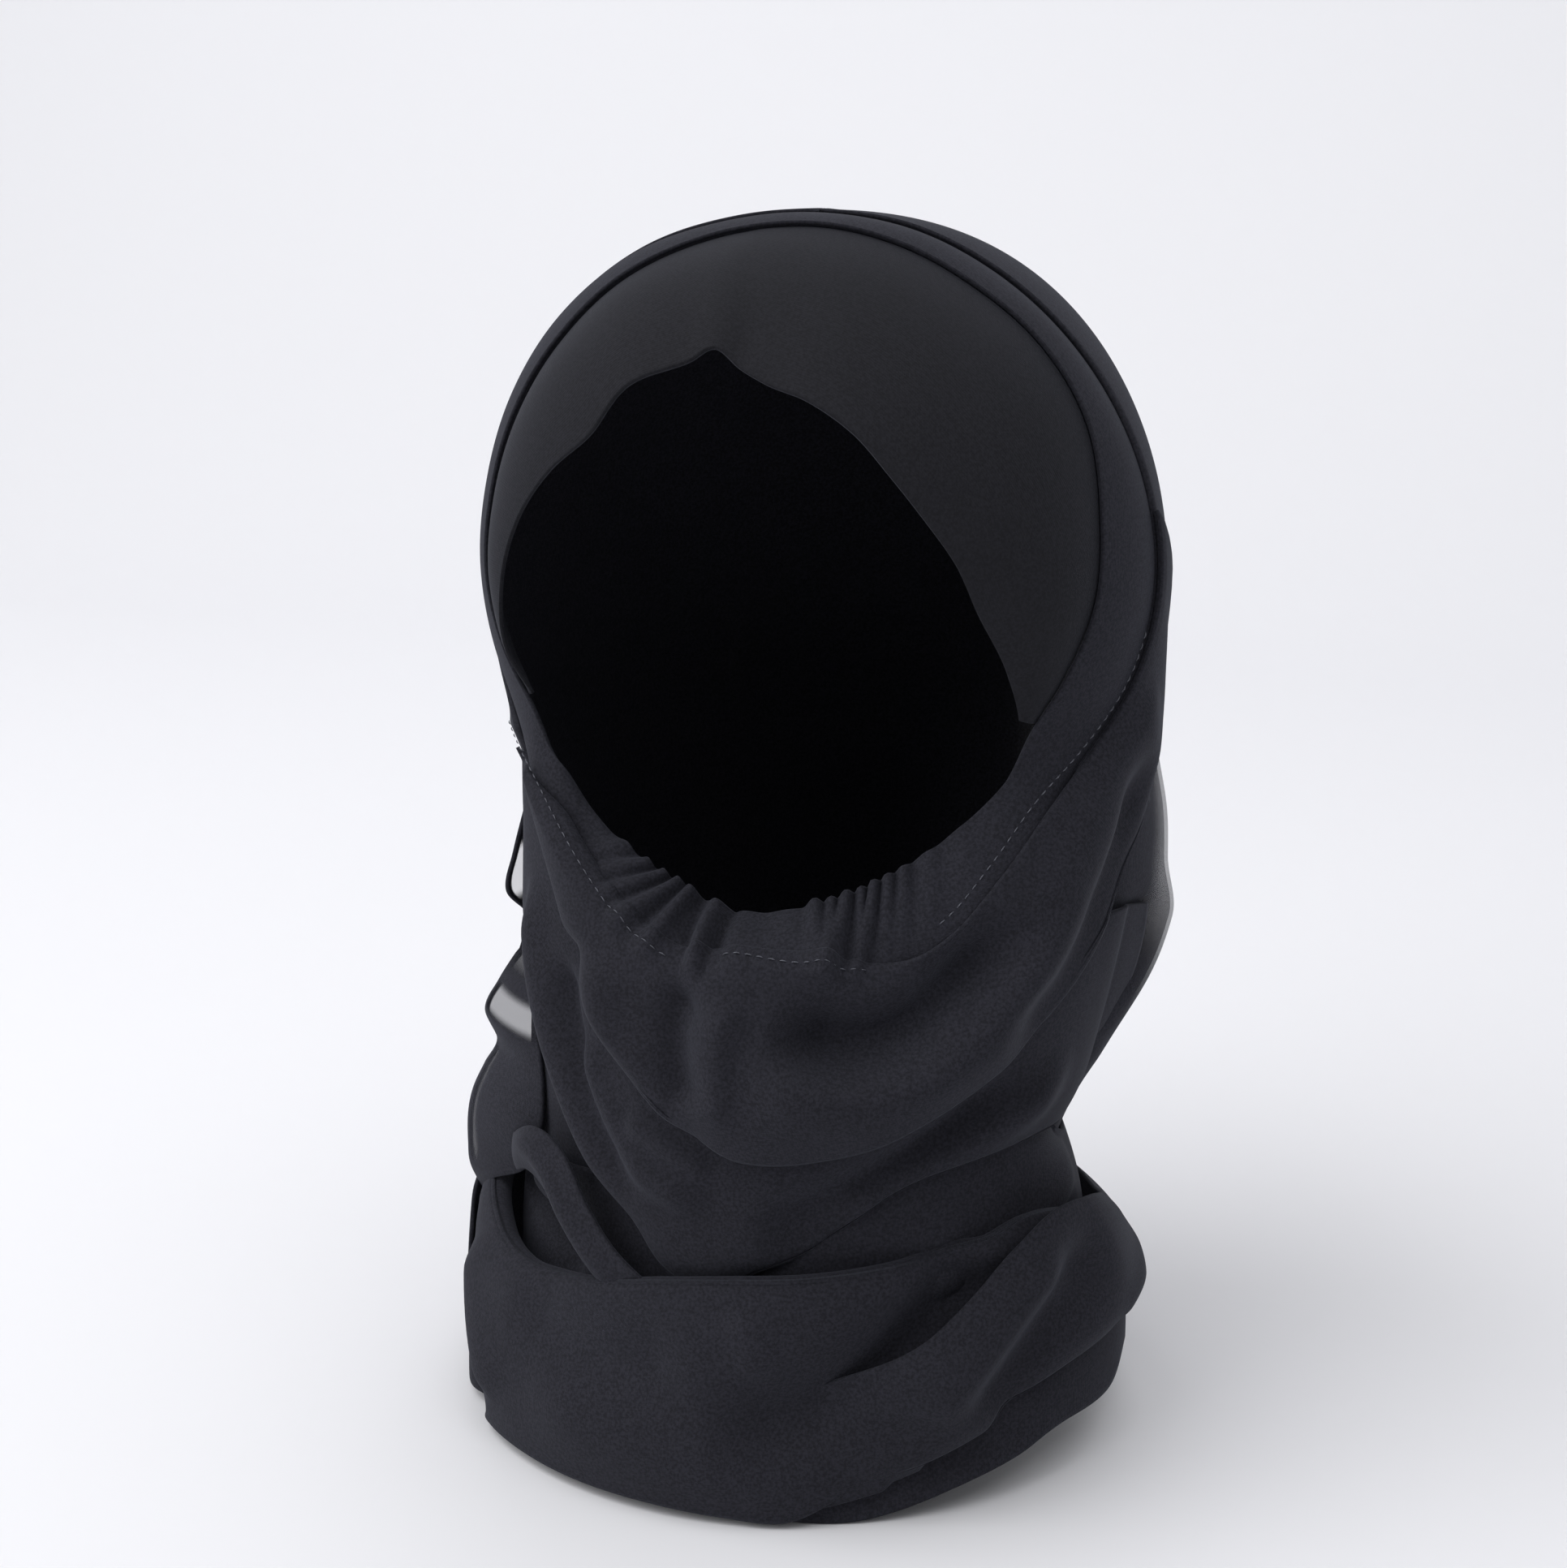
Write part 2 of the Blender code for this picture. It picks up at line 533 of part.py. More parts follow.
def hood_stations(rows):
    """Rows of the hood from the crown down: level and turn of both hems, then the reach at five stations

    The stations are the right hem, the right flank, the back, the left flank and the left
    hem. The upper rows start and end on the hem round the face, the lower ones come from
    the hem table.
    """
    angles = np.linspace(0.0, HOOD_HEM_END, rows)
    right_turn, right_level, right_reach = locate(edge_loop(angles))
    left_turn, left_level, left_reach = locate(edge_loop(-angles))
    hem = dict(zip(HOOD_HEM_COLUMNS, np.array(HOOD_HEM).T))
    levels = np.stack([np.append(right_level, hem["level"]), np.append(left_level, hem["level"])], -1)
    right_hem = np.append(right_turn, hem["right_turn"])
    left_hem = np.append(left_turn, hem["left_turn"]) + 360.0
    turns = np.stack([right_hem, left_hem], -1)
    share = (np.array(HOOD_TURNS) - turns[:, :1]) / (turns[:, 1:] - turns[:, :1])
    station = levels[:, :1] + (levels[:, 1:] - levels[:, :1]) * share
    size = dict(zip(HOOD_SIZE_COLUMNS, np.array(HOOD_SIZE).T))
    columns = enumerate(HOOD_SIZE_COLUMNS[1:])
    middle = [spline(size["level"], size[name], station[:, k]) for k, name in columns]
    crown = (1 - np.clip(1 - station / CROWN_LEVEL, 0, 1) ** CROWN_POWER) ** (1 / CROWN_POWER)
    right = np.append(right_reach, hem["right"])[:, None]
    left = np.append(left_reach, hem["left"])[:, None]
    return levels, turns, np.hstack([right, np.stack(middle, -1) * crown, left])


def hood_knots(turns):
    """Turns of the five stations, between the turns of the two hems"""
    middle = np.broadcast_to(HOOD_TURNS, turns.shape[:-1] + (len(HOOD_TURNS),))
    return np.concatenate([turns[..., :1], middle, turns[..., 1:]], -1)


def hood_reach(turn, level):
    """Reach of the hood where it passes a turn and level, and nothing where the hood is open"""
    levels, turns, reaches = hood_stations(HOOD_UPPER_ROWS)
    rows = np.hstack([turns, reaches])
    row = np.stack([np.interp(level, levels[:, 0], column) for column in rows.T], -1)
    around = np.mod(turn, 360.0)
    reach = spline_across(hood_knots(row[..., :2]), row[..., 2:], around)
    inside = (around >= row[..., 0]) & (around <= row[..., 1]) & (level <= levels[-1, 0] + HEM_MARGIN)
    return np.where(inside, reach, 0.0)


def panel_reach(rows, turn, level):
    """Reach of a panel with upright ribs where it passes a turn and level, and nothing past its ends"""
    value = np.array(rows, float)
    around = np.where(turn > value[-1, 0], turn - 360.0, turn)
    row = spline(value[:, 0], value, np.clip(around, value[0, 0], value[-1, 0]))
    rib = dict(zip(RIB_COLUMNS, np.moveaxis(row, -1, 0)))
    v = (level - rib["level"]) / (rib["end_level"] - rib["level"])
    inside = (around >= value[0, 0]) & (np.abs(v - 0.5) <= 0.5 + HEM_MARGIN)
    return np.where(inside, rib_reach(rib, v), 0.0)


def lower_wrap_reach(turn, level):
    """Reach of the lower wrap where it passes a turn and level"""
    return panel_reach(LOWER_WRAP, turn, level)


def neck_wrap_reach(turn, level):
    """Reach of the neck wrap where it passes a turn and level"""
    return panel_reach(NECK_WRAP, turn, level)


def hood():
    """Hood: rows from the right hem round the back of the head to the left hem, from the crown down

    The columns between the flanks stand upright, and those at the sides fan out to the hems.
    """
    levels, turns, reaches = hood_stations(HOOD_UPPER_ROWS)
    u = np.linspace(0.0, 1.0, HOOD_SIDE_COLUMNS, endpoint=False)
    right = turns[:, :1] + (HOOD_TURNS[0] - turns[:, :1]) * u
    left = turns[:, 1:] + (HOOD_TURNS[-1] - turns[:, 1:]) * u[::-1]
    back = np.linspace(HOOD_TURNS[0], HOOD_TURNS[-1], HOOD_BACK_COLUMNS)
    turn = np.hstack([right, np.broadcast_to(back, (len(turns), HOOD_BACK_COLUMNS)), left])
    share = (turn - turns[:, :1]) / (turns[:, 1:] - turns[:, :1])
    level = levels[:, :1] + (levels[:, 1:] - levels[:, :1]) * share
    knots = np.repeat(hood_knots(turns)[:, None], turn.shape[1], axis=1)
    values = np.repeat(reaches[:, None], turn.shape[1], axis=1)
    grid = place(turn, level, spline_across(knots, values, turn))
    grid[0] = edge_loop(np.zeros(1))
    return grid


def front_cowl_rows():
    """Ribs of the first cowl: each starts on the face edge at the angle in its row"""
    table = np.array(FRONT_COWL, float)[::-1]
    turn, level, reach = locate(edge_loop(table[:, 0]))
    return np.column_stack([turn, level, reach, table[:, 1:]])


def cut(name, rows, **shape):
    """Name and grid of one panel, with its counts of columns and rows and its layer from the table"""
    size = dict(zip(PANEL_COLUMNS, PANELS[name]))
    return name, panel(rows, **size, **shape)


def pieces():
    """Name and grid of every panel, from the face outwards and downwards"""
    return (
        cut("front_cowl", front_cowl_rows(), end_roll=COWL_ROLL, over=hood_reach),
        cut("second_cowl", SECOND_COWL, end_roll=EDGE_ROLL, over=hood_reach),
        cut("neck_wrap", NECK_WRAP, closed=True, over=hood_reach),
        cut("lower_wrap", LOWER_WRAP, top_roll=WRAP_ROLL),
        cut("right_fold", RIGHT_FOLD, over=lower_wrap_reach),
        cut("left_fold", LEFT_FOLD, over=lower_wrap_reach),
        cut("under_hem", UNDER_HEM, under=lower_wrap_reach),
        cut("side_tail", SIDE_TAIL, over=hood_reach),
        cut("inner_fold", INNER_FOLD, over=neck_wrap_reach),
    )


def cloth_material(name, colour, roughness):
    """Plain finish of one piece of cloth"""
    material = bpy.data.materials.new(name)
    material.use_nodes = True
    shader = material.node_tree.nodes["Principled BSDF"]
    shader.inputs["Base Color"].default_value = (*colour, 1.0)
    shader.inputs["Roughness"].default_value = roughness
    shader.inputs["Metallic"].default_value = 0.0
    return material


def grid_object(name, grid, collection, colour, roughness, closed=False):
    """Mesh object of a grid of points, with a wall of cloth on it and a material of its own"""
    rows, columns = grid.shape[:2]
    index = np.arange(rows * columns).reshape(rows, columns)
    following = np.roll(index, -1, axis=1) if closed else index[:, 1:]
    here = index if closed else index[:, :-1]
    quads = np.stack([here[:-1], here[1:], following[1:], following[:-1]], -1).reshape(-1, 4)
    mesh = bpy.data.meshes.new(name)
    mesh.from_pydata(grid.reshape(-1, 3).tolist(), [], quads.tolist())
    mesh.update()
    mesh.materials.append(cloth_material(name, colour, roughness))
    piece = bpy.data.objects.new(name, mesh)
    collection.objects.link(piece)
    weld = piece.modifiers.new("Pole", "WELD")
    weld.merge_threshold = WELD_DISTANCE
    wall = piece.modifiers.new("Cloth", "SOLIDIFY")
    wall.thickness = CLOTH
    wall.offset = 0.0
    mesh.shade_smooth()
    return piece


def main():
    """Clear the scene and build every piece in a collection of its own"""
    for old in list(bpy.data.objects):
        bpy.data.objects.remove(old, do_unlink=True)
    collection = bpy.data.collections.new("instant_hijab")
    bpy.context.scene.collection.children.link(collection)
    crepe = (CREPE_COLOUR, CREPE_ROUGHNESS)
    grid_object("forehead_band", forehead_band(), collection, JERSEY_COLOUR, JERSEY_ROUGHNESS)
    grid_object("face_casing", face_casing(), collection, *crepe, closed=True)
    grid_object("hood", hood(), collection, *crepe)
    for name, grid in pieces():
        grid_object(name, grid, collection, *crepe, closed=name == "neck_wrap")


main()
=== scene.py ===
"""Instant hijab: the fine cloth of the worn veil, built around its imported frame.

Metres, +Z up. The origin is the inside of the crown, the face looks along -Y and +X is
the wearer's left. A turn is an azimuth in degrees, 0 at the face and + to the wearer's
left. A level is 0 at the crown, 1 at the chin and 2 at the lowest hem. A reach is a share
of the reference oval at that level.
"""

import bpy
import numpy as np
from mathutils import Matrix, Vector


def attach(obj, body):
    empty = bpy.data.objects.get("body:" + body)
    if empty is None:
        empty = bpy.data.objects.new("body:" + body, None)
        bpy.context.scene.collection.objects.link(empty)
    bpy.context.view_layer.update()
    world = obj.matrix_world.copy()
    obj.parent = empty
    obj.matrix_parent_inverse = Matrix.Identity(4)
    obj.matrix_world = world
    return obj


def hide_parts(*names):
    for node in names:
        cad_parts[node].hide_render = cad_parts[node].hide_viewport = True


bl_info = {
    "name": "Instant hijab",
    "version": (1, 0, 0),
    "blender": (4, 5, 0),
    "location": "View3D > Sidebar > Veil",
    "description": "Builds the cloth panels of an instant hijab in its worn form",
    "category": "Object",
}

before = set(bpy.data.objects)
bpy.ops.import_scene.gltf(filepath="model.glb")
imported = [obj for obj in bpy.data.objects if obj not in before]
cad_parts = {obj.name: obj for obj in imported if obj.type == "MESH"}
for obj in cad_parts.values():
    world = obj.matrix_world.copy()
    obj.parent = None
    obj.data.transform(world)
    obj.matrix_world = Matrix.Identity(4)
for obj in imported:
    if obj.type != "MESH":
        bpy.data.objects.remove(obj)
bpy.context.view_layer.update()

# Loops round the face. The angle is seen from the front, 0 at the brow and + to the wearer's left.
# The inset is a share of the band's width, seam and edge are shares of the head's half width,
# and each fore is a share of the head's depth in front.
FACE_COLUMNS = ("angle", "inset", "fore", "seam", "seam_fore", "edge", "edge_fore")
FACE_LOOP = (
    (-172, 0.00, 0.80, 0.840, 0.80, 0.980, 0.985),
    (-165, 0.00, 0.77, 0.830, 0.77, 0.985, 0.960),
    (-157, 0.00, 0.74, 0.825, 0.74, 0.955, 0.920),
    (-148, 0.00, 0.70, 0.815, 0.70, 0.915, 0.860),
    (-137, 0.00, 0.64, 0.810, 0.64, 0.890, 0.760),
    (-126, 0.00, 0.59, 0.810, 0.585, 0.905, 0.590),
    (-116, 0.04, 0.545, 0.810, 0.55, 0.950, 0.370),
    (-104, 0.08, 0.57, 0.850, 0.50, 0.985, 0.220),
    (-90, 0.25, 0.62, 0.890, 0.45, 1.005, 0.125),
    (-75, 0.40, 0.68, 0.905, 0.43, 1.015, 0.090),
    (-60, 0.57, 0.76, 0.920, 0.44, 1.030, 0.070),
    (-45, 0.72, 0.82, 0.940, 0.44, 1.040, 0.060),
    (-30, 0.70, 0.83, 0.970, 0.38, 1.035, 0.050),
    (-15, 0.73, 0.80, 0.980, 0.28, 1.015, 0.050),
    (-9, 0.69, 0.78, 0.981, 0.27, 1.010, 0.050),
    (-4, 0.82, 0.79, 0.982, 0.27, 1.007, 0.050),
    (2, 0.90, 0.81, 0.982, 0.26, 1.005, 0.050),
    (15, 0.93, 0.84, 0.972, 0.25, 1.005, 0.050),
    (30, 0.95, 0.86, 0.958, 0.26, 0.995, 0.050),
    (45, 1.00, 0.86, 0.955, 0.28, 0.990, 0.060),
    (60, 0.96, 0.84, 0.940, 0.32, 0.990, 0.070),
    (75, 0.80, 0.80, 0.900, 0.40, 0.995, 0.090),
    (90, 0.65, 0.73, 0.870, 0.46, 0.997, 0.125),
    (104, 0.35, 0.63, 0.825, 0.52, 0.985, 0.220),
    (116, 0.08, 0.57, 0.795, 0.55, 0.960, 0.360),
    (126, 0.00, 0.585, 0.810, 0.585, 0.955, 0.550),
    (137, 0.00, 0.64, 0.810, 0.64, 0.985, 0.690),
    (148, 0.00, 0.695, 0.815, 0.695, 1.030, 0.800),
    (160, 0.00, 0.745, 0.830, 0.745, 1.035, 0.915),
    (170, 0.00, 0.79, 0.840, 0.79, 0.980, 0.985),
    (180, 0.00, 0.81, 0.850, 0.81, 0.940, 1.010),
)

# Hems of the hood below the casing: a level, then the turn and reach of the right and the left hem
HOOD_HEM_COLUMNS = ("level", "right_turn", "right", "left", "left_turn")
HOOD_HEM = (
    (0.83, 73, 0.895, 0.860, -62),
    (0.92, 76, 0.875, 0.825, -58),
    (1.01, 79, 0.860, 0.810, -57),
    (1.10, 81, 0.840, 0.805, -54),
    (1.20, 82, 0.810, 0.800, -50),
    (1.31, 83, 0.780, 0.790, -44),
    (1.43, 84, 0.740, 0.775, -38),
    (1.55, 86, 0.705, 0.760, -34),
)

# Reach of the hood at three turns: on its right flank, at the back and on its left flank
HOOD_SIZE_COLUMNS = ("level", "right_flank", "back", "left_flank")
HOOD_SIZE = (
    (0.00, 1.010, 1.000, 0.975),
    (0.50, 0.992, 1.000, 0.975),
    (0.66, 0.985, 1.003, 0.965),
    (0.76, 0.990, 1.008, 0.950),
    (0.83, 1.020, 1.012, 0.930),
    (0.92, 1.055, 1.015, 0.905),
    (1.01, 1.065, 1.010, 0.885),
    (1.10, 1.070, 0.990, 0.870),
    (1.20, 1.030, 0.950, 0.855),
    (1.31, 0.935, 0.890, 0.835),
    (1.43, 0.810, 0.830, 0.810),
    (1.55, 0.715, 0.790, 0.785),
)

# Ribs of the panels: turn, level and reach where each starts and ends, and how far it bows out
RIB_COLUMNS = ("turn", "level", "reach", "end_turn", "end_level", "end_reach", "bulge")

# Ribs of the first cowl start on the casing's edge, so they have an angle round the face instead
FRONT_COWL = (
    (-126, -36, 0.96, 0.930, 0.010),
    (-137, -32, 1.06, 0.940, 0.015),
    (-148, -26, 1.14, 0.955, 0.020),
    (-157, -19, 1.20, 0.965, 0.020),
    (-165, -12, 1.26, 0.975, 0.020),
    (-172, -6, 1.30, 0.980, 0.015),
    (-180, 3, 1.343, 0.985, 0.010),
    (-190, 18, 1.33, 0.990, 0.010),
    (-200, 35, 1.26, 0.990, 0.015),
    (-212, 57, 1.139, 0.990, 0.020),
    (-223, 72, 1.02, 0.990, 0.020),
    (-234, 80, 0.93, 0.995, 0.015),
    (-244, 88, 0.86, 1.000, 0.010),
    (-257, 96, 0.75, 0.990, 0.006),
    (-270, 100, 0.65, 0.980, 0.002),
    (-282, 100, 0.56, 0.980, 0.002),
)

SECOND_COWL = (
    (-64, 0.78, 0.890, -67, 1.00, 0.855, 0.008),
    (-58, 0.80, 0.885, -68, 1.11, 0.850, 0.012),
    (-50, 0.84, 0.865, -62, 1.165, 0.845, 0.015),
    (-42, 0.91, 0.850, -52, 1.24, 0.845, 0.015),
    (-34, 1.00, 0.840, -42, 1.33, 0.845, 0.015),
    (-26, 1.08, 0.850, -32, 1.43, 0.845, 0.015),
    (-18, 1.14, 0.870, -22, 1.505, 0.845, 0.015),
    (-10, 1.19, 0.870, -14, 1.59, 0.845, 0.015),
    (0, 1.22, 0.870, -4, 1.62, 0.845, 0.010),
    (10, 1.22, 0.870, 6, 1.57, 0.850, 0.010),
    (22, 1.18, 0.870, 17, 1.53, 0.850, 0.010),
    (36, 1.12, 0.870, 31, 1.435, 0.850, 0.010),
    (50, 1.06, 0.875, 45, 1.395, 0.850, 0.010),
    (66, 1.00, 0.885, 64, 1.39, 0.830, 0.010),
    (76, 1.00, 0.900, 76, 1.40, 0.810, 0.010),
    (86, 1.01, 0.925, 88, 1.41, 0.780, 0.010),
    (98, 1.04, 0.900, 98, 1.42, 0.760, 0.000),
)

NECK_WRAP = (
    (-170, 1.50, 0.790, -170, 1.70, 0.800, 0.005),
    (-140, 1.50, 0.785, -140, 1.70, 0.800, 0.005),
    (-110, 1.50, 0.780, -110, 1.72, 0.800, 0.008),
    (-80, 1.50, 0.770, -80, 1.76, 0.805, 0.010),
    (-50, 1.48, 0.760, -50, 1.78, 0.790, 0.010),
    (-25, 1.45, 0.760, -25, 1.76, 0.785, 0.010),
    (0, 1.45, 0.770, 0, 1.72, 0.790, 0.008),
    (20, 1.45, 0.780, 20, 1.68, 0.800, 0.010),
    (36, 1.38, 0.780, 36, 1.66, 0.812, 0.015),
    (52, 1.35, 0.770, 52, 1.65, 0.815, 0.020),
    (70, 1.36, 0.750, 70, 1.65, 0.815, 0.020),
    (88, 1.45, 0.720, 88, 1.66, 0.810, 0.020),
    (104, 1.50, 0.740, 104, 1.67, 0.805, 0.015),
    (130, 1.50, 0.770, 130, 1.69, 0.795, 0.010),
    (160, 1.50, 0.785, 160, 1.70, 0.800, 0.005),
)

LOWER_WRAP = (
    (-168, 1.64, 0.885, -168, 2.00, 0.925, 0.012),
    (-150, 1.62, 0.900, -150, 2.00, 0.940, 0.015),
    (-130, 1.60, 0.925, -130, 2.00, 0.965, 0.018),
    (-100, 1.57, 0.930, -100, 2.00, 0.975, 0.015),
    (-78, 1.60, 0.925, -76, 1.990, 0.978, 0.012),
    (-64, 1.625, 0.925, -62, 1.985, 0.985, 0.016),
    (-50, 1.64, 0.935, -50, 1.985, 0.992, 0.025),
    (-38, 1.635, 0.935, -38, 1.985, 0.988, 0.025),
    (-25, 1.61, 0.935, -25, 1.985, 0.979, 0.022),
    (-12, 1.58, 0.935, -12, 1.985, 0.970, 0.022),
    (1, 1.56, 0.935, 1, 1.99, 0.960, 0.024),
    (15, 1.55, 0.930, 13, 1.99, 0.958, 0.022),
    (28, 1.54, 0.925, 24, 1.93, 0.945, 0.012),
    (39, 1.535, 0.920, 36, 1.86, 0.930, 0.006),
    (50, 1.515, 0.915, 48, 1.76, 0.915, 0.003),
    (60, 1.500, 0.905, 58, 1.70, 0.905, 0.003),
    (72, 1.530, 0.895, 72, 1.68, 0.895, 0.003),
    (86, 1.590, 0.885, 86, 1.69, 0.885, 0.003),
)

RIGHT_FOLD = (
    (4, 1.85, 0.970, 3, 1.965, 0.960, 0.000),
    (15, 1.775, 0.975, 14, 1.955, 0.970, 0.003),
    (27, 1.718, 0.985, 26, 1.925, 0.975, 0.008),
    (35, 1.667, 0.980, 35, 1.897, 0.975, 0.010),
    (44, 1.595, 0.970, 45, 1.86, 0.975, 0.014),
    (52, 1.530, 0.960, 54, 1.825, 0.970, 0.020),
    (62, 1.490, 0.945, 64, 1.79, 0.970, 0.025),
    (74, 1.510, 0.920, 76, 1.775, 0.975, 0.026),
    (90, 1.575, 0.878, 90, 1.77, 0.972, 0.024),
    (106, 1.625, 0.848, 106, 1.82, 0.968, 0.024),
    (130, 1.650, 0.850, 130, 1.92, 0.970, 0.032),
    (160, 1.640, 0.870, 160, 2.00, 0.975, 0.035),
    (190, 1.620, 0.920, 190, 2.00, 0.975, 0.030),
    (212, 1.615, 0.940, 212, 2.00, 0.975, 0.025),
    (226, 1.640, 0.950, 226, 2.00, 0.970, 0.015),
)

LEFT_FOLD = (
    (-76, 1.72, 0.950, -76, 1.91, 0.970, 0.004),
    (-84, 1.67, 0.960, -84, 1.96, 0.980, 0.008),
    (-94, 1.66, 0.965, -94, 1.98, 0.980, 0.010),
    (-106, 1.68, 0.950, -106, 1.99, 0.970, 0.006),
    (-118, 1.72, 0.900, -118, 1.99, 0.900, 0.000),
)

UNDER_HEM = (
    (-40, 1.86, 0.990, -40, 1.945, 1.000, 0.000),
    (-10, 1.87, 0.990, -10, 1.965, 1.000, 0.000),
    (11, 1.87, 0.940, 11, 2.00, 0.945, -0.004),
    (26, 1.86, 0.905, 26, 2.00, 0.945, -0.006),
    (44, 1.82, 0.895, 44, 1.949, 0.965, -0.004),
    (54, 1.78, 0.895, 54, 1.926, 0.965, 0.000),
    (64, 1.74, 0.905, 64, 1.900, 0.965, 0.004),
    (80, 1.73, 0.925, 80, 1.905, 0.965, 0.004),
    (92, 1.73, 0.940, 92, 1.88, 0.960, 0.004),
    (106, 1.76, 0.950, 106, 1.93, 0.960, 0.004),
    (125, 1.84, 0.955, 125, 1.99, 0.960, 0.004),
)

SIDE_TAIL = (
    (-96, 0.87, 0.820, -82, 0.88, 0.870, 0.000),
    (-94, 0.97, 0.830, -80, 0.98, 0.905, 0.004),
    (-92, 1.04, 0.830, -78, 1.05, 0.915, 0.004),
    (-90, 1.10, 0.820, -82, 1.11, 0.850, 0.000),
    (-84, 1.16, 0.815, -82, 1.17, 0.865, 0.000),
    (-66, 1.22, 0.810, -80, 1.23, 0.910, 0.004),
    (-60, 1.28, 0.800, -80, 1.29, 0.945, 0.006),
    (-57, 1.34, 0.795, -80, 1.35, 0.900, 0.003),
    (-56, 1.39, 0.790, -80, 1.40, 0.932, 0.002),
    (-56, 1.44, 0.790, -80, 1.45, 0.962, 0.001),
    (-60, 1.50, 0.790, -80, 1.50, 0.975, 0.001),
    (-66, 1.56, 0.810, -80, 1.56, 0.975, 0.001),
    (-76, 1.62, 0.900, -82, 1.62, 0.975, 0.000),
    (-82, 1.70, 0.910, -86, 1.70, 0.945, 0.000),
)

INNER_FOLD = (
    (-72, 1.500, 0.800, -71, 1.56, 0.790, 0.000),
    (-60, 1.460, 0.835, -62, 1.54, 0.820, 0.010),
    (-47, 1.400, 0.850, -52, 1.50, 0.835, 0.014),
    (-37, 1.420, 0.855, -45, 1.51, 0.835, 0.016),
    (-30, 1.490, 0.860, -38, 1.56, 0.835, 0.016),
    (-22, 1.560, 0.865, -30, 1.62, 0.835, 0.014),
    (-12, 1.620, 0.865, -21, 1.69, 0.830, 0.010),
)

# Folds of each panel: height in mm (less than 0 is a valley), width on either side in mm,
# and the line as turns and levels.
FOLDS = {
    "front_cowl": (
        (4.0, 9, 5, ((2, 1.04), (-1, 1.10), (-1, 1.18), (0, 1.30))),
        (-5.0, 7, 7, ((-6, 1.03), (-9, 1.10), (-8, 1.18), (-5, 1.26))),
        (5.0, 8, 9, ((-22, 1.00), (-24, 1.08), (-21, 1.18), (-14, 1.26), (-4, 1.31))),
        (-4.0, 6, 6, ((-31, 0.98), (-33, 1.06), (-30, 1.14), (-24, 1.22))),
        (-12.0, 8, 11, ((6, 1.09), (15, 1.12), (24, 1.13), (33, 1.10), (42, 1.02), (52, 0.94))),
        (6.5, 15, 6, ((2, 1.13), (10, 1.18), (20, 1.20), (30, 1.17), (40, 1.09), (52, 1.00), (64, 0.90))),
        (-6.5, 9, 11, ((84, 0.74), (76, 0.86), (66, 0.98), (56, 1.08), (44, 1.16))),
        (3.0, 6, 14, ((86, 0.66), (78, 0.72), (68, 0.79), (58, 0.88), (48, 0.97))),
        (4.0, 10, 9, ((80, 1.00), (68, 1.12), (52, 1.23), (32, 1.31), (16, 1.33))),
    ),
    "second_cowl": (
        (4.5, 6, 9, ((-56, 0.94), (-54, 1.08), (-46, 1.22), (-32, 1.38), (-16, 1.52))),
        (-5.0, 6, 6, ((-44, 1.06), (-40, 1.18), (-30, 1.32), (-16, 1.46))),
        (4.0, 5, 6, ((-35, 1.18), (-31, 1.27), (-22, 1.37), (-12, 1.42), (-2, 1.44))),
        (2.4, 4, 4, ((-22, 1.31), (-16, 1.33), (-9, 1.36), (-2, 1.38))),
        (-7.0, 8, 13, ((60, 1.22), (40, 1.33), (20, 1.43), (4, 1.50))),
        (5.0, 7, 8, ((74, 1.24), (52, 1.33), (34, 1.40), (18, 1.50))),
    ),
    "lower_wrap": (
        (-9.0, 15, 12, ((52, 1.53), (42, 1.62), (28, 1.73), (12, 1.81), (-2, 1.85))),
        (-15.0, 7, 5, ((-80, 1.68), (-73, 1.77), (-67, 1.85), (-61, 1.92), (-54, 2.00))),
        (4.0, 5, 12, ((-68, 1.68), (-61, 1.77), (-54, 1.85), (-47, 1.93))),
        (3.0, 14, 20, ((-40, 1.85), (-10, 1.89), (16, 1.88))),
        (-3.4, 10, 14, ((-46, 1.70), (-24, 1.74), (-4, 1.72))),
        (1.6, 5, 9, ((4, 1.59), (6, 1.66), (8, 1.74))),
    ),
    "right_fold": (
        (-8.0, 13, 13, ((76, 1.57), (67, 1.62), (59, 1.67), (53, 1.73), (49, 1.79), (46, 1.85))),
        (4.5, 8, 9, ((62, 1.54), (53, 1.63), (43, 1.73), (28, 1.82))),
        (2.0, 8, 10, ((104, 1.70), (92, 1.74), (78, 1.79))),
        (-3.4, 8, 10, ((40, 1.76), (26, 1.85), (14, 1.90))),
    ),
    "neck_wrap": (
        (3.6, 8, 8, ((96, 1.50), (70, 1.54), (50, 1.58), (30, 1.62))),
        (-3.6, 8, 8, ((90, 1.58), (66, 1.60), (46, 1.66))),
        (-11.0, 12, 12, ((-76, 1.57), (-62, 1.57), (-48, 1.61), (-38, 1.68))),
    ),
    "inner_fold": (
        (3.0, 5, 5, ((-62, 1.49), (-49, 1.44), (-41, 1.46), (-34, 1.53), (-26, 1.60), (-17, 1.66))),
    ),
    "hood": (
        (-6.0, 12, 14, ((100, 1.02), (92, 1.14), (84, 1.24))),
        (2.5, 9, 14, ((112, 1.00), (104, 1.14), (94, 1.26), (88, 1.38))),
        (5.0, 14, 18, ((150, 0.95), (146, 1.15), (138, 1.40))),
        (-5.0, 14, 14, ((168, 0.95), (166, 1.20), (160, 1.45))),
        (5.0, 14, 16, ((188, 0.90), (186, 1.20), (182, 1.45))),
        (-5.0, 14, 14, ((210, 0.98), (212, 1.20), (214, 1.42))),
        (4.0, 12, 14, ((236, 1.00), (240, 1.20), (246, 1.40))),
    ),
}

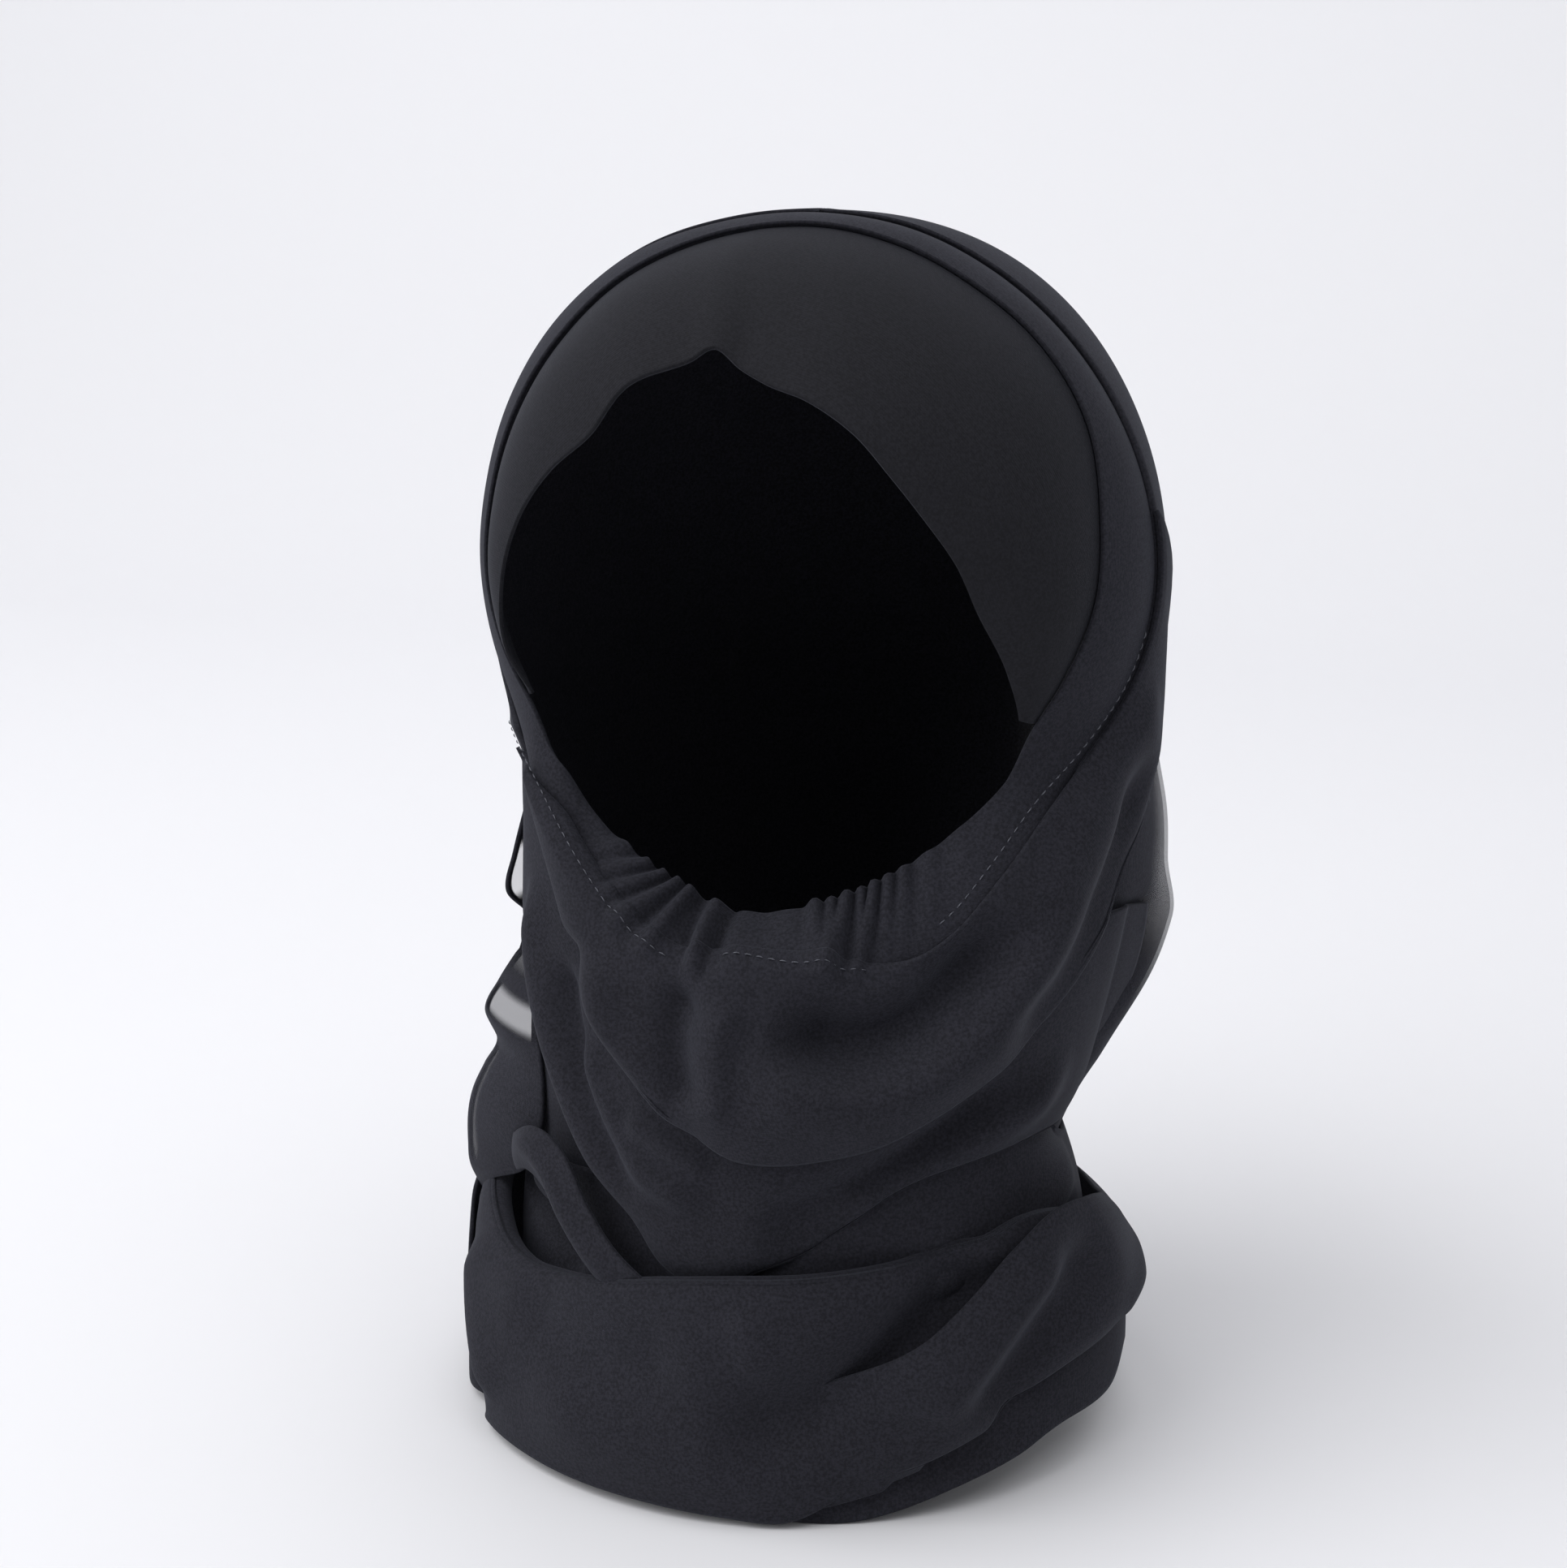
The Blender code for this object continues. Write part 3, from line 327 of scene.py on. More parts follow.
GATHER_COLUMNS = ("angle", "seam_height", "edge_height", "width", "slant")
# Gathers of the casing: heights at the seam and at the edge in mm (less than 0 is a pocket),
# half width in degrees and how many degrees the ridge slants on its way to the edge.
GATHERS = (
    (138.0, 1.2, 0.2, 2.6, 6.0),
    (145.5, 2.4, 0.4, 2.0, 6.0),
    (150.6, 3.6, 0.8, 1.3, 6.0),
    (154.0, 4.6, 1.2, 1.0, 5.0),
    (156.9, 5.2, 1.6, 0.9, 5.5),
    (159.6, 4.2, 1.0, 0.8, 3.0),
    (162.6, 5.4, 1.8, 1.1, 3.5),
    (165.6, 4.0, 1.0, 0.9, 0.5),
    (168.6, 4.8, 1.4, 1.2, -1.5),
    (174.0, 1.2, 2.6, 3.2, -6.0),
    (181.0, 0.8, 0.6, 2.6, 2.0),
    (184.0, -1.5, -3.0, 1.2, 1.0),
    (187.0, 3.6, 4.2, 1.5, 0.5),
    (190.4, -1.0, -2.5, 1.1, -1.0),
    (192.8, 4.8, 2.2, 1.2, 4.0),
    (195.8, 5.4, 2.8, 1.3, 8.0),
    (199.4, 4.6, 2.4, 1.3, 10.0),
    (203.4, 4.4, 1.6, 1.6, 11.0),
    (209.0, 3.0, 0.8, 2.2, 10.0),
    (212.0, -0.6, -3.0, 5.0, 0.0),
    (221.0, -0.6, -5.0, 6.0, 2.0),
    (230.0, 2.0, 0.0, 5.0, -8.0),
    (160.0, 0.0, -3.0, 6.0, 0.0),
)

# Stitching: first and last angle round the face, and how far inside the edge it runs at both, in mm.
STITCHES = (
    (96.0, 150.0, 5.5, 5.0),
    (160.0, 183.0, 2.6, 2.8),
    (192.0, 243.0, 1.6, 1.2),
)


class VeilSettings(bpy.types.PropertyGroup):
    """Named sizes of the veil"""

    head_height: bpy.props.FloatProperty(
        name="Head height", description="From the crown to the chin", default=0.204, unit="LENGTH")
    neck_drop: bpy.props.FloatProperty(
        name="Neck drop", description="From the chin to the lowest hem", default=0.175, unit="LENGTH")
    head_half_width: bpy.props.FloatProperty(
        name="Head half width", description="Half the width over the temples",
        default=0.1045, unit="LENGTH")
    head_front_depth: bpy.props.FloatProperty(
        name="Head front depth", description="From the axis to the brow", default=0.096, unit="LENGTH")
    head_back_depth: bpy.props.FloatProperty(
        name="Head back depth", description="From the axis to the back", default=0.115, unit="LENGTH")
    base_half_width: bpy.props.FloatProperty(
        name="Base half width", description="Half the width of the wrapped part",
        default=0.112, unit="LENGTH")
    base_front_depth: bpy.props.FloatProperty(
        name="Base front depth", description="From the axis to the front of the wrap",
        default=0.102, unit="LENGTH")
    base_back_depth: bpy.props.FloatProperty(
        name="Base back depth", description="From the axis to the back of the wrap",
        default=0.112, unit="LENGTH")
    head_lean: bpy.props.FloatProperty(
        name="Head lean", description="How far the head's axis stands to the left",
        default=0.0035, unit="LENGTH")
    base_lean: bpy.props.FloatProperty(
        name="Base lean", description="How far the wrap's axis stands to the left",
        default=-0.003, unit="LENGTH")
    band_width: bpy.props.FloatProperty(
        name="Band width", description="Widest part of the cap's band", default=0.044, unit="LENGTH")
    band_crown: bpy.props.FloatProperty(
        name="Band crown", description="How far the band bows out", default=0.008, unit="LENGTH")
    gather_depth: bpy.props.FloatProperty(
        name="Gather depth", description="Height of the gathers under the chin",
        default=0.0034, unit="LENGTH")
    cowl_roll: bpy.props.FloatProperty(
        name="Cowl roll", description="Radius of the first cowl's lower roll", default=0.004, unit="LENGTH")
    wrap_roll: bpy.props.FloatProperty(
        name="Wrap roll", description="Radius of the lower wrap's upper roll",
        default=0.0035, unit="LENGTH")
    edge_roll: bpy.props.FloatProperty(
        name="Edge roll", description="Radius of the second cowl's edge", default=0.002, unit="LENGTH")
    cloth: bpy.props.FloatProperty(
        name="Cloth", description="Thickness of a cloth wall", default=0.0012, unit="LENGTH")
    clearance: bpy.props.FloatProperty(
        name="Clearance", description="Gap between two layers", default=0.0005, unit="LENGTH")
    seam_tuck: bpy.props.FloatProperty(
        name="Seam tuck", description="How far the band's seam lies under the casing",
        default=0.0004, unit="LENGTH")
    base_colour: bpy.props.FloatVectorProperty(
        name="Cloth colour", description="Colour of the black cloth",
        default=(0.0175, 0.0175, 0.0235), subtype="COLOR")
    band_colour: bpy.props.FloatVectorProperty(
        name="Band colour", description="Colour of the cap's band",
        default=(0.0115, 0.0115, 0.0145), subtype="COLOR")
    floor_colour: bpy.props.FloatVectorProperty(
        name="Floor colour", description="Colour of the floor", default=(0.84, 0.84, 0.87), subtype="COLOR")


# The form: the face centre as a share of the head's height, the levels between which the head's
# sizes turn into the base's, and the crown's rounding
FACE_RISE_SHARE = 0.515
NECK_START = 0.75
NECK_END = 1.6
CROWN_LEVEL = 0.56
CROWN_POWER = 2.2
# The hood: turns of the table's three stations, the angle round the face where its hem leaves the
# casing, the share of a level that its reach goes on past a hem, and its rim in degrees and metres
HOOD_TURNS = (112.0, 180.0, 248.0)
HOOD_HEM_END = 120.0
HEM_MARGIN = 0.03
RIM_TURN = 1.2
RIM_DEPTH = 0.0011
RIM_START = 0.1
RIM_FULL = 0.3
# Panels: share of a fold's line that fades at each end and the points that it is read at, how far
# a sunk rib goes under in layers, and the last angle and least curl of a roll
FOLD_FADE = 0.22
FOLD_STEPS = 24
SINK_DEPTH = 0.3
ROLL_END = 175.0
LEAST_CURL = 0.05
# The band and the casing: last angle of the band, the casing's bulge as a share of its width, and
# how the gathers start, fall off from the seam, rise to the edge and spread
BAND_END = 114.0
CASING_ROUND_SHARE = 0.07
GATHER_START = 132.0
GATHER_UNIT = 3.4
GATHER_FALL = 0.9
GATHER_RISE = 1.25
GATHER_SPREAD = 0.7
# Hem of the first cowl over the casing: width in metres, angles where it starts, is full, is last
# full and ends, height in layers, share of it that its rim drops, least relief, and joining rows
HEM_WIDTH = 0.0065
HEM_TURNS = (150.0, 166.0, 220.0, 234.0)
HEM_LAYERS = 0.75
HEM_RIM = 0.8
HEM_SAG = -0.0005
JOIN_ROWS = 8
# Stitches, in metres, and how far their ends dip into the cloth, in radii
STITCH_PITCH = 0.0034
STITCH_LENGTH = 0.0023
STITCH_RADIUS = 0.00019
STITCH_LIFT = 0.0003
STITCH_DIP = 0.6

# Sheer cloth: the share of light that it lets through, then where that starts, is full, is last
# full and ends. The hood's flank goes by turns and by levels, the tail's loops by levels.
HOOD_SHEER = 0.60
HOOD_SHEER_TURNS = (94.0, 105.0, 120.0, 165.0)
HOOD_SHEER_LEVELS = (0.62, 0.88, 1.06, 1.36)
TAIL_LOOPS = (
    (0.82, 0.965, 0.985, 1.06, 1.085),
    (0.30, 1.10, 1.12, 1.19, 1.215),
    (0.62, 1.225, 1.245, 1.275, 1.30),
)
# The tail's strip is sheer near its edge alone, and its rolled hem is not
TAIL_STRIP = (0.30, 1.33, 1.38, 1.56, 1.62)
STRIP_WIDTH = 0.0085
STRIP_FADE = 0.003
TAIL_HEM = 0.0018
TAIL_HEM_FADE = 0.0006

# Crepe: scale of its grain, of its slow changes of tone and of its threads
GRAIN_SCALE = 1100.0
TONE_SCALE = 26.0
WEAVE_SCALE = 420.0

# Stage and camera, in metres and degrees from the axis of the piece
FLOOR_GAP = 0.0012
FLOOR_FRONT = -2.5
FLOOR_BACK = 1.1
FLOOR_HALF_WIDTH = 3.0
SWEEP_RADIUS = 0.8
WALL_HEIGHT = 2.0
WORLD_COLOUR = (0.97, 0.98, 1.0, 1.0)
WORLD_STRENGTH = 0.27
# Lights: name, place, power in watts and size. All of them face the same point.
LIGHTS = (
    ("Key", (-1.7, -1.1, 1.5), 62.0, 3.0),
    ("Top", (0.3, -0.2, 2.3), 42.0, 3.4),
    ("Fill", (1.6, -1.4, 0.7), 2.0, 1.4),
)
LIGHT_AIM = (0.0, 0.0, -0.18)
CAMERA_TURN = 15.0
CAMERA_TILT = 15.5
CAMERA_AWAY = 0.765
CAMERA_ASIDE = 0.0085
CAMERA_HEIGHT = 0.036
CAMERA_LENS = 57.79


def spline(knots, values, at):
    """Smooth curve through the rows: cubic pieces whose slopes are the mean slopes of the neighbours"""
    knots = np.asarray(knots, float)
    values = np.asarray(values, float)
    slopes = np.gradient(values, knots, axis=0)
    at = np.asarray(at, float)
    index = np.clip(np.searchsorted(knots, at, side="right") - 1, 0, len(knots) - 2)
    span = knots[index + 1] - knots[index]
    t = (at - knots[index]) / span
    shape = t.shape + (1,) * (values.ndim - 1)
    t = t.reshape(shape)
    span = span.reshape(shape)
    start = (2 * t**3 - 3 * t**2 + 1) * values[index] + (t**3 - 2 * t**2 + t) * span * slopes[index]
    end = (3 * t**2 - 2 * t**3) * values[index + 1] + (t**3 - t**2) * span * slopes[index + 1]
    return start + end


def spline_across(knots, values, at):
    """The same smooth curve along the last axis, where every row has knots of its own"""
    spans = np.diff(knots, axis=-1)
    rises = np.diff(values, axis=-1) / spans
    before = spans[..., :-1]
    after = spans[..., 1:]
    middle = (before * rises[..., 1:] + after * rises[..., :-1]) / (before + after)
    slopes = np.concatenate([rises[..., :1], middle, rises[..., -1:]], -1)
    index = np.sum(at[..., None] >= knots[..., 1:-1], -1)[..., None]

    def pick(array):
        return np.take_along_axis(array, index, -1)[..., 0]

    def pick_next(array):
        return np.take_along_axis(array, index + 1, -1)[..., 0]

    span = pick(spans)
    t = (at - pick(knots)) / span
    start = (2 * t**3 - 3 * t**2 + 1) * pick(values) + (t**3 - 2 * t**2 + t) * span * pick(slopes)
    end = (3 * t**2 - 2 * t**3) * pick_next(values) + (t**3 - t**2) * span * pick_next(slopes)
    return start + end


def smooth(t):
    """Step from 0 to 1 that starts and ends level: 3 t squared less 2 t cubed"""
    t = np.clip(t, 0.0, 1.0)
    return t * t * (3 - 2 * t)


def unit(vectors):
    """Vectors of length 1 in the same directions"""
    return vectors / np.maximum(np.linalg.norm(vectors, axis=-1, keepdims=True), 1e-12)


class Form:
    """The worn form: heights, the reference oval and the loops round the face"""

    def __init__(self, settings):
        self.s = settings
        self.layer = settings.cloth + settings.clearance

    def height(self, level):
        """Height of a level: the head from the crown to the chin, then the neck from there to the hem"""
        head = np.minimum(level, 1.0) * self.s.head_height
        neck = np.maximum(np.asarray(level) - 1.0, 0.0) * self.s.neck_drop
        return -(head + neck)

    def level_of(self, z):
        """Level of a height, the reverse of height"""
        above = np.minimum(-z / self.s.head_height, 1.0)
        below = np.maximum(-z - self.s.head_height, 0.0) / self.s.neck_drop
        return above + below

    def from_head_to_base(self, head_size, base_size, level):
        """Size that is the head's at the top and turns smoothly into the base's over the neck"""
        t = smooth((np.asarray(level, float) - NECK_START) / (NECK_END - NECK_START))
        return head_size + (base_size - head_size) * t

    def lean(self, level):
        """How far the axis stands to the left at a level"""
        return self.from_head_to_base(self.s.head_lean, self.s.base_lean, level)

    def ring(self, turn, level):
        """Radius of the reference oval: half an ellipse for the front and half of another for the back"""
        s = self.s
        angle = np.radians(turn)
        side = self.from_head_to_base(s.head_half_width, s.base_half_width, level)
        front = self.from_head_to_base(s.head_front_depth, s.base_front_depth, level)
        back = self.from_head_to_base(s.head_back_depth, s.base_back_depth, level)
        depth = np.where(np.cos(angle) > 0, front, back)
        return side * depth / np.hypot(depth * np.sin(angle), side * np.cos(angle))

    def place(self, turn, level, reach, offset=0.0):
        """World points of turns, levels and reaches, moved outward by an offset"""
        radius = self.ring(turn, level) * reach + offset
        angle = np.radians(turn)
        x = self.lean(level) + radius * np.sin(angle)
        y = -radius * np.cos(angle)
        return np.stack(np.broadcast_arrays(x, y, self.height(level)), -1)

    def locate(self, points):
        """Turn, level and reach of world points"""
        level = self.level_of(points[..., 2])
        x = points[..., 0] - self.lean(level)
        turn = np.degrees(np.arctan2(x, -points[..., 1]))
        reach = np.hypot(x, points[..., 1]) / self.ring(turn, level)
        return turn, level, reach

    def face_rows(self, angles):
        """The face table read at any angle, with its rows repeated before and after one turn"""
        table = np.array(FACE_LOOP, float)
        before = table - [360, 0, 0, 0, 0, 0, 0]
        after = table + [360, 0, 0, 0, 0, 0, 0]
        rows = np.vstack([before, table, after])
        return dict(zip(FACE_COLUMNS[1:], spline(rows[:, 0], rows[:, 1:], np.asarray(angles, float)).T))

    def face_point(self, angles, radius_share, fore_share, inset=0.0):
        """Point of a loop round the face: polar in the front view about the face centre"""
        s = self.s
        angle = np.radians(angles)
        rise = s.head_height * FACE_RISE_SHARE
        x = s.head_lean + (s.head_half_width * radius_share - inset) * np.sin(angle)
        z = -rise + (rise * radius_share - inset) * np.cos(angle)
        return np.stack(np.broadcast_arrays(x, -s.head_front_depth * fore_share, z), -1)

    def seam_loop(self, angles):
        """Points of the seam between the band and the casing"""
        row = self.face_rows(angles)
        return self.face_point(angles, row["seam"], row["seam_fore"])

    def edge_loop(self, angles):
        """Points of the casing's outer edge"""
        row = self.face_rows(angles)
        return self.face_point(angles, row["edge"], row["edge_fore"])

    def opening_loop(self, angles):
        """Points of the band's free edge, inside the seam"""
        row = self.face_rows(angles)
        return self.face_point(angles, row["seam"], row["fore"], row["inset"] * self.s.band_width)

    def radial_direction(self, points):
        """Level directions from the axis out to points"""
        level = self.level_of(points[..., 2])
        flat = np.stack([points[..., 0] - self.lean(level), points[..., 1], np.zeros_like(level)], -1)
        return unit(flat)


def outward(first, last):
    """Unit normals, on the side that looks forward, of the strip from one face loop to a larger one"""
    around = np.gradient(first + last, axis=0)
    normal = unit(np.cross(around, last - first))
    return normal * np.sign(-normal[:, 1:2])


def roll_over(edge, tangent, away, radius, curl, rows=14):
    """Strip of cloth that goes on from an edge along its tangent and curls back to the inside"""
    inward = unit(tangent * np.sum(away * tangent, -1, keepdims=True) - away)
    share = np.clip(curl, LEAST_CURL, 1.0)[:, None]
    arc = np.radians(np.linspace(0, ROLL_END, rows + 1)[1:])[:, None, None] * share
    wide = radius / share
    return edge + tangent * wide * np.sin(arc) + inward * wide * (1 - np.cos(arc))


def fold_relief(form, name, turn, level):
    """Relief of a panel's folds in metres

    Each fold is a line of turns and levels. Its height falls off with the distance to the
    line as a bell curve with its own width on either side, and fades at both ends.
    """
    across = form.s.head_half_width * 1000
    spot = np.stack([np.radians(turn) * across, -1000 * form.height(level)], -1).reshape(-1, 1, 2)
    total = np.zeros(spot.shape[0])
    for rise, one_side, other_side, line in FOLDS.get(name, ()):
        table = np.array(line, float)
        at = np.linspace(0, len(table) - 1, FOLD_STEPS)
        fine = spline(np.arange(len(table)), table, at)
        points = np.stack([np.radians(fine[:, 0]) * across, -1000 * form.height(fine[:, 1])], -1)
        start = points[:-1]
        step = points[1:] - start
        length = np.sum(step**2, -1)
        t = np.clip(np.sum((spot - start) * step, -1) / length, 0, 1)
        offset = spot - (start + step * t[..., None])
        distance = np.linalg.norm(offset, axis=-1)
        nearest = np.argmin(distance, -1)
        rows = np.arange(len(nearest))
        near = distance[rows, nearest]
        side = step[nearest, 0] * offset[rows, nearest, 1] - step[nearest, 1] * offset[rows, nearest, 0]
        width = np.where(side > 0, one_side, other_side)
        along = (nearest + t[rows, nearest]) / len(step)
        fade = smooth(along / FOLD_FADE) * smooth((1 - along) / FOLD_FADE)
        total += rise * fade * np.exp(-((near / width) ** 2))
    return total.reshape(np.shape(turn)) / 1000


def rib_reach(rib, v):
    """Reach along a rib: from its start to its end, bowed out by its bulge in the middle"""
    return rib["reach"] + (rib["end_reach"] - rib["reach"]) * v + rib["bulge"] * 4 * v * (1 - v)


def panel(form, name, rows, across, down, layer=0.0, top_roll=0.0, end_roll=0.0, closed=False,
          over=None, under=None, sink=(0.0, 0.0), ease=(0.0, 0.2, 0.0, 0.2)):
    """Panel of ribs: each row is one rib, straight in turn and level from its start to its end.

    A closed panel goes once round. A panel over another one never dips inside its reach, and
    a panel under another one never stands out of it. Rolls curl the top or the end of every
    rib to the inside. The sink shares are how much of the first and last ribs slip under the
    layer below, so that the panel runs out of it without a step. The ease values are how deep
    the top of each rib turns in and over which share of the rib, then the same for its end.
    """
    table = np.array(rows, float)
    count = len(table)
    spot = np.linspace(0.0, count - 1.0, across)
    knots = np.arange(count)
    if closed:
        round_trip = np.array([360.0, 0.0, 0.0, 360.0, 0.0, 0.0, 0.0])
        table = np.vstack([table - round_trip, table, table + round_trip])
        knots = np.arange(-count, 2 * count)
        spot = np.linspace(0.0, count, across, endpoint=False)
    rib = dict(zip(RIB_COLUMNS, spline(knots, table, spot).T))
    v = np.linspace(0.0, 1.0, down)[:, None]
    turn = rib["turn"] + (rib["end_turn"] - rib["turn"]) * v
    level = rib["level"] + (rib["end_level"] - rib["level"]) * v
    top_depth, top_share, end_depth, end_share = ease
    turned_in = top_depth * np.clip(1 - v / top_share, 0, 1) ** 2
    turned_in = turned_in + end_depth * np.clip(1 - (1 - v) / end_share, 0, 1) ** 2
    relief = fold_relief(form, name, turn, level) - turned_in
    reach = rib_reach(rib, v) + relief / form.ring(turn, level)
    curl = np.ones(across)
    u = np.linspace(0.0, 1.0, across)
    rise = np.ones(across)
    for away, share in ((u, sink[0]), (1 - u, sink[1])):
        if share:
            rise = rise * (smooth(away / share) * (1 + SINK_DEPTH) - SINK_DEPTH)
    if over:
        below = over(form, turn, level)
        sunk = below + np.maximum(reach - below, 0.0) * np.clip(rise, 0, 1)
        reach = np.where(below > 0, sunk, reach)
        if end_roll:
            room = (reach[-1] - below[-1]) * form.ring(turn[-1], level[-1])
            curl = np.clip(room / (2 * end_roll), 0, 1) ** 4
    if under:
        cover = under(form, turn, level)
        reach = np.where(cover > 0, np.minimum(reach, cover), reach)
    grid = form.place(turn, level, reach, layer * form.layer * rise)
    if top_roll:
        tangent = unit(grid[0] - grid[1])
        grid[0] = grid[0] - tangent * top_roll
        rolled = roll_over(grid[0], tangent, form.radial_direction(grid[0]), top_roll, curl)
        grid = np.concatenate([rolled[::-1], grid])
    if end_roll:
        tangent = unit(grid[-1] - grid[-2])
        grid[-1] = grid[-1] - tangent * end_roll
        rolled = roll_over(grid[-1], tangent, form.radial_direction(grid[-1]), end_roll, curl)
        grid = np.concatenate([grid, rolled])
    return grid


def hood_stations(form, rows):
    """Rows of the hood from the crown down: level and turn of both hems, then the reach at five stations"""
    angles = np.linspace(0.0, HOOD_HEM_END, rows)
    right_turn, right_level, right_reach = form.locate(form.edge_loop(angles))
    left_turn, left_level, left_reach = form.locate(form.edge_loop(-angles))
    table = np.array(HOOD_HEM)
    fine = np.linspace(table[0, 0], table[-1, 0], rows)
    hem = dict(zip(HOOD_HEM_COLUMNS[1:], spline(table[:, 0], table[:, 1:], fine).T))
    levels = np.stack([np.append(right_level, fine), np.append(left_level, fine)], -1)
    right_turn = np.append(right_turn, hem["right_turn"])
    left_turn = np.append(left_turn, hem["left_turn"]) + 360.0
    turns = np.stack([right_turn, left_turn], -1)
    share = (np.array(HOOD_TURNS) - turns[:, :1]) / (turns[:, 1:] - turns[:, :1])
    station = levels[:, :1] + (levels[:, 1:] - levels[:, :1]) * share
    size = np.array(HOOD_SIZE)
    flanks = HOOD_SIZE_COLUMNS[1:]
    middle = [spline(size[:, 0], size[:, 1 + k], station[:, k]) for k in range(len(flanks))]
    crown = (1 - np.clip(1 - station / CROWN_LEVEL, 0, 1) ** CROWN_POWER) ** (1 / CROWN_POWER)
    right = np.append(right_reach, hem["right"])[:, None]
    left = np.append(left_reach, hem["left"])[:, None]
    return levels, turns, np.hstack([right, np.stack(middle, -1) * crown, left])


def hood_knots(turns):
    """Turns of the five stations of each row: its right hem, the three of the table and its left hem"""
    middle = np.broadcast_to(HOOD_TURNS, turns.shape[:-1] + (len(HOOD_TURNS),))
    return np.concatenate([turns[..., :1], middle, turns[..., 1:]], -1)


def hood_reach(form, turn, level):
    """Reach of the hood where it passes a turn and level, and nothing where the hood is open"""
    levels, turns, reaches = hood_stations(form, 40)
    rows = np.hstack([turns, reaches])
    row = np.stack([np.interp(level, levels[:, 0], column) for column in rows.T], -1)
    around = np.mod(turn, 360.0)
    reach = spline_across(hood_knots(row[..., :2]), row[..., 2:], around)
    inside = (around >= row[..., 0]) & (around <= row[..., 1]) & (level <= levels[-1, 0] + HEM_MARGIN)
    return np.where(inside, reach, 0.0)


def panel_reach(form, name, rows, turn, level):
    """Reach of a panel with upright ribs where it passes a turn and level, and nothing past its ends"""
    value = np.array(rows, float)
    around = np.where(turn > value[-1, 0], turn - 360.0, turn)
    row = spline(value[:, 0], value, np.clip(around, value[0, 0], value[-1, 0]))
    rib = dict(zip(RIB_COLUMNS, np.moveaxis(row, -1, 0)))
    v = (level - rib["level"]) / (rib["end_level"] - rib["level"])
    inside = (around >= value[0, 0]) & (np.abs(v - 0.5) <= 0.5 + HEM_MARGIN)
    relief = fold_relief(form, name, around, level) / form.ring(turn, level)
    return np.where(inside, rib_reach(rib, v) + relief, 0.0)


def lower_wrap_reach(form, turn, level):
    """Reach of the lower wrap"""
    return panel_reach(form, "lower_wrap", LOWER_WRAP, turn, level)


def neck_wrap_reach(form, turn, level):
    """Reach of the neck wrap"""
    return panel_reach(form, "neck_wrap", NECK_WRAP, turn, level)


def gather_relief(form, angles, v):
    """Relief of the gathers in metres: bell-shaped ridges that slant from the seam to the edge, v 0 to 1"""
    scale = form.s.gather_depth / GATHER_UNIT
    total = np.zeros(np.broadcast_shapes(np.shape(angles), np.shape(v)))
    for row in GATHERS:
        ridge = dict(zip(GATHER_COLUMNS, row))
        at_seam = ridge["seam_height"] * (1 - v) ** GATHER_FALL
        at_edge = ridge["edge_height"] * smooth(v * GATHER_RISE)
        height = at_seam + at_edge
        width = ridge["width"] * (1 + GATHER_SPREAD * v)
        away = (angles - ridge["angle"] - ridge["slant"] * v) / width
        total = total + height * np.exp(-(away**2))
    return total * scale


def forehead_band(form, columns=420, rows=70):
    """Peaked band of the inner cap: straight from the face opening to its seam, bowed out by a parabola"""
    angles = np.linspace(-BAND_END, BAND_END, columns)
    seam = form.seam_loop(angles)
    opening = form.opening_loop(angles)
    away = outward(opening, seam)
    seam = seam - away * (form.layer + form.s.seam_tuck)
    crown = form.s.band_crown * form.face_rows(angles)["inset"]
    v = np.linspace(0.0, 1.0, rows)[:, None, None]
    return opening + (seam - opening) * v + away * crown[:, None] * 4 * v * (1 - v)


def face_casing(form, columns=900, rows=40):
    """Casing round the face: straight from its seam to its edge, bowed out by a parabola, plus the gathers"""
    angles = np.linspace(-180.0, 180.0, columns, endpoint=False) + 180.0
    from_brow = np.abs(np.mod(angles + 180.0, 360.0) - 180.0)
    seam = form.seam_loop(angles)
    edge = form.edge_loop(angles)
    away = outward(seam, edge)
    under_hood = 1 - smooth((from_brow - HOOD_HEM_END) / (GATHER_START - HOOD_HEM_END))
    edge = edge - away * (form.layer * under_hood)[:, None]
    v = np.linspace(0.0, 1.0, rows)[:, None, None]
    width = np.linalg.norm(edge - seam, axis=-1, keepdims=True)
    grid = seam + (edge - seam) * v + away * width * CASING_ROUND_SHARE * 4 * v * (1 - v)
    return grid + away * gather_relief(form, angles[:, None], v)


def hood(form, columns=220, rows=110):
    """Hood: rows from the right hem round the back to the left hem, from the crown down

    The reach along a row is a smooth curve through its five stations, plus the folds. Its rim
    sinks as a quarter circle.
    """
    levels, turns, reaches = hood_stations(form, rows)
    u = np.linspace(0.0, 1.0, columns)
    turn = turns[:, :1] + (turns[:, 1:] - turns[:, :1]) * u
    level = levels[:, :1] + (levels[:, 1:] - levels[:, :1]) * u
    knots = np.repeat(hood_knots(turns)[:, None], columns, axis=1)
    values = np.repeat(reaches[:, None], columns, axis=1)
    relief = fold_relief(form, "hood", turn, level)
    rim = np.minimum(u, 1 - u) * (turns[:, 1:] - turns[:, :1]) / RIM_TURN
    sink = RIM_DEPTH * (1 - np.sqrt(1 - (1 - np.clip(rim, 0, 1)) ** 2))
    below = smooth((level - RIM_START) / (RIM_FULL - RIM_START))
    grid = form.place(turn, level, spline_across(knots, values, turn), relief - sink * below)
    grid[0] = form.edge_loop(np.zeros(1))
    return grid


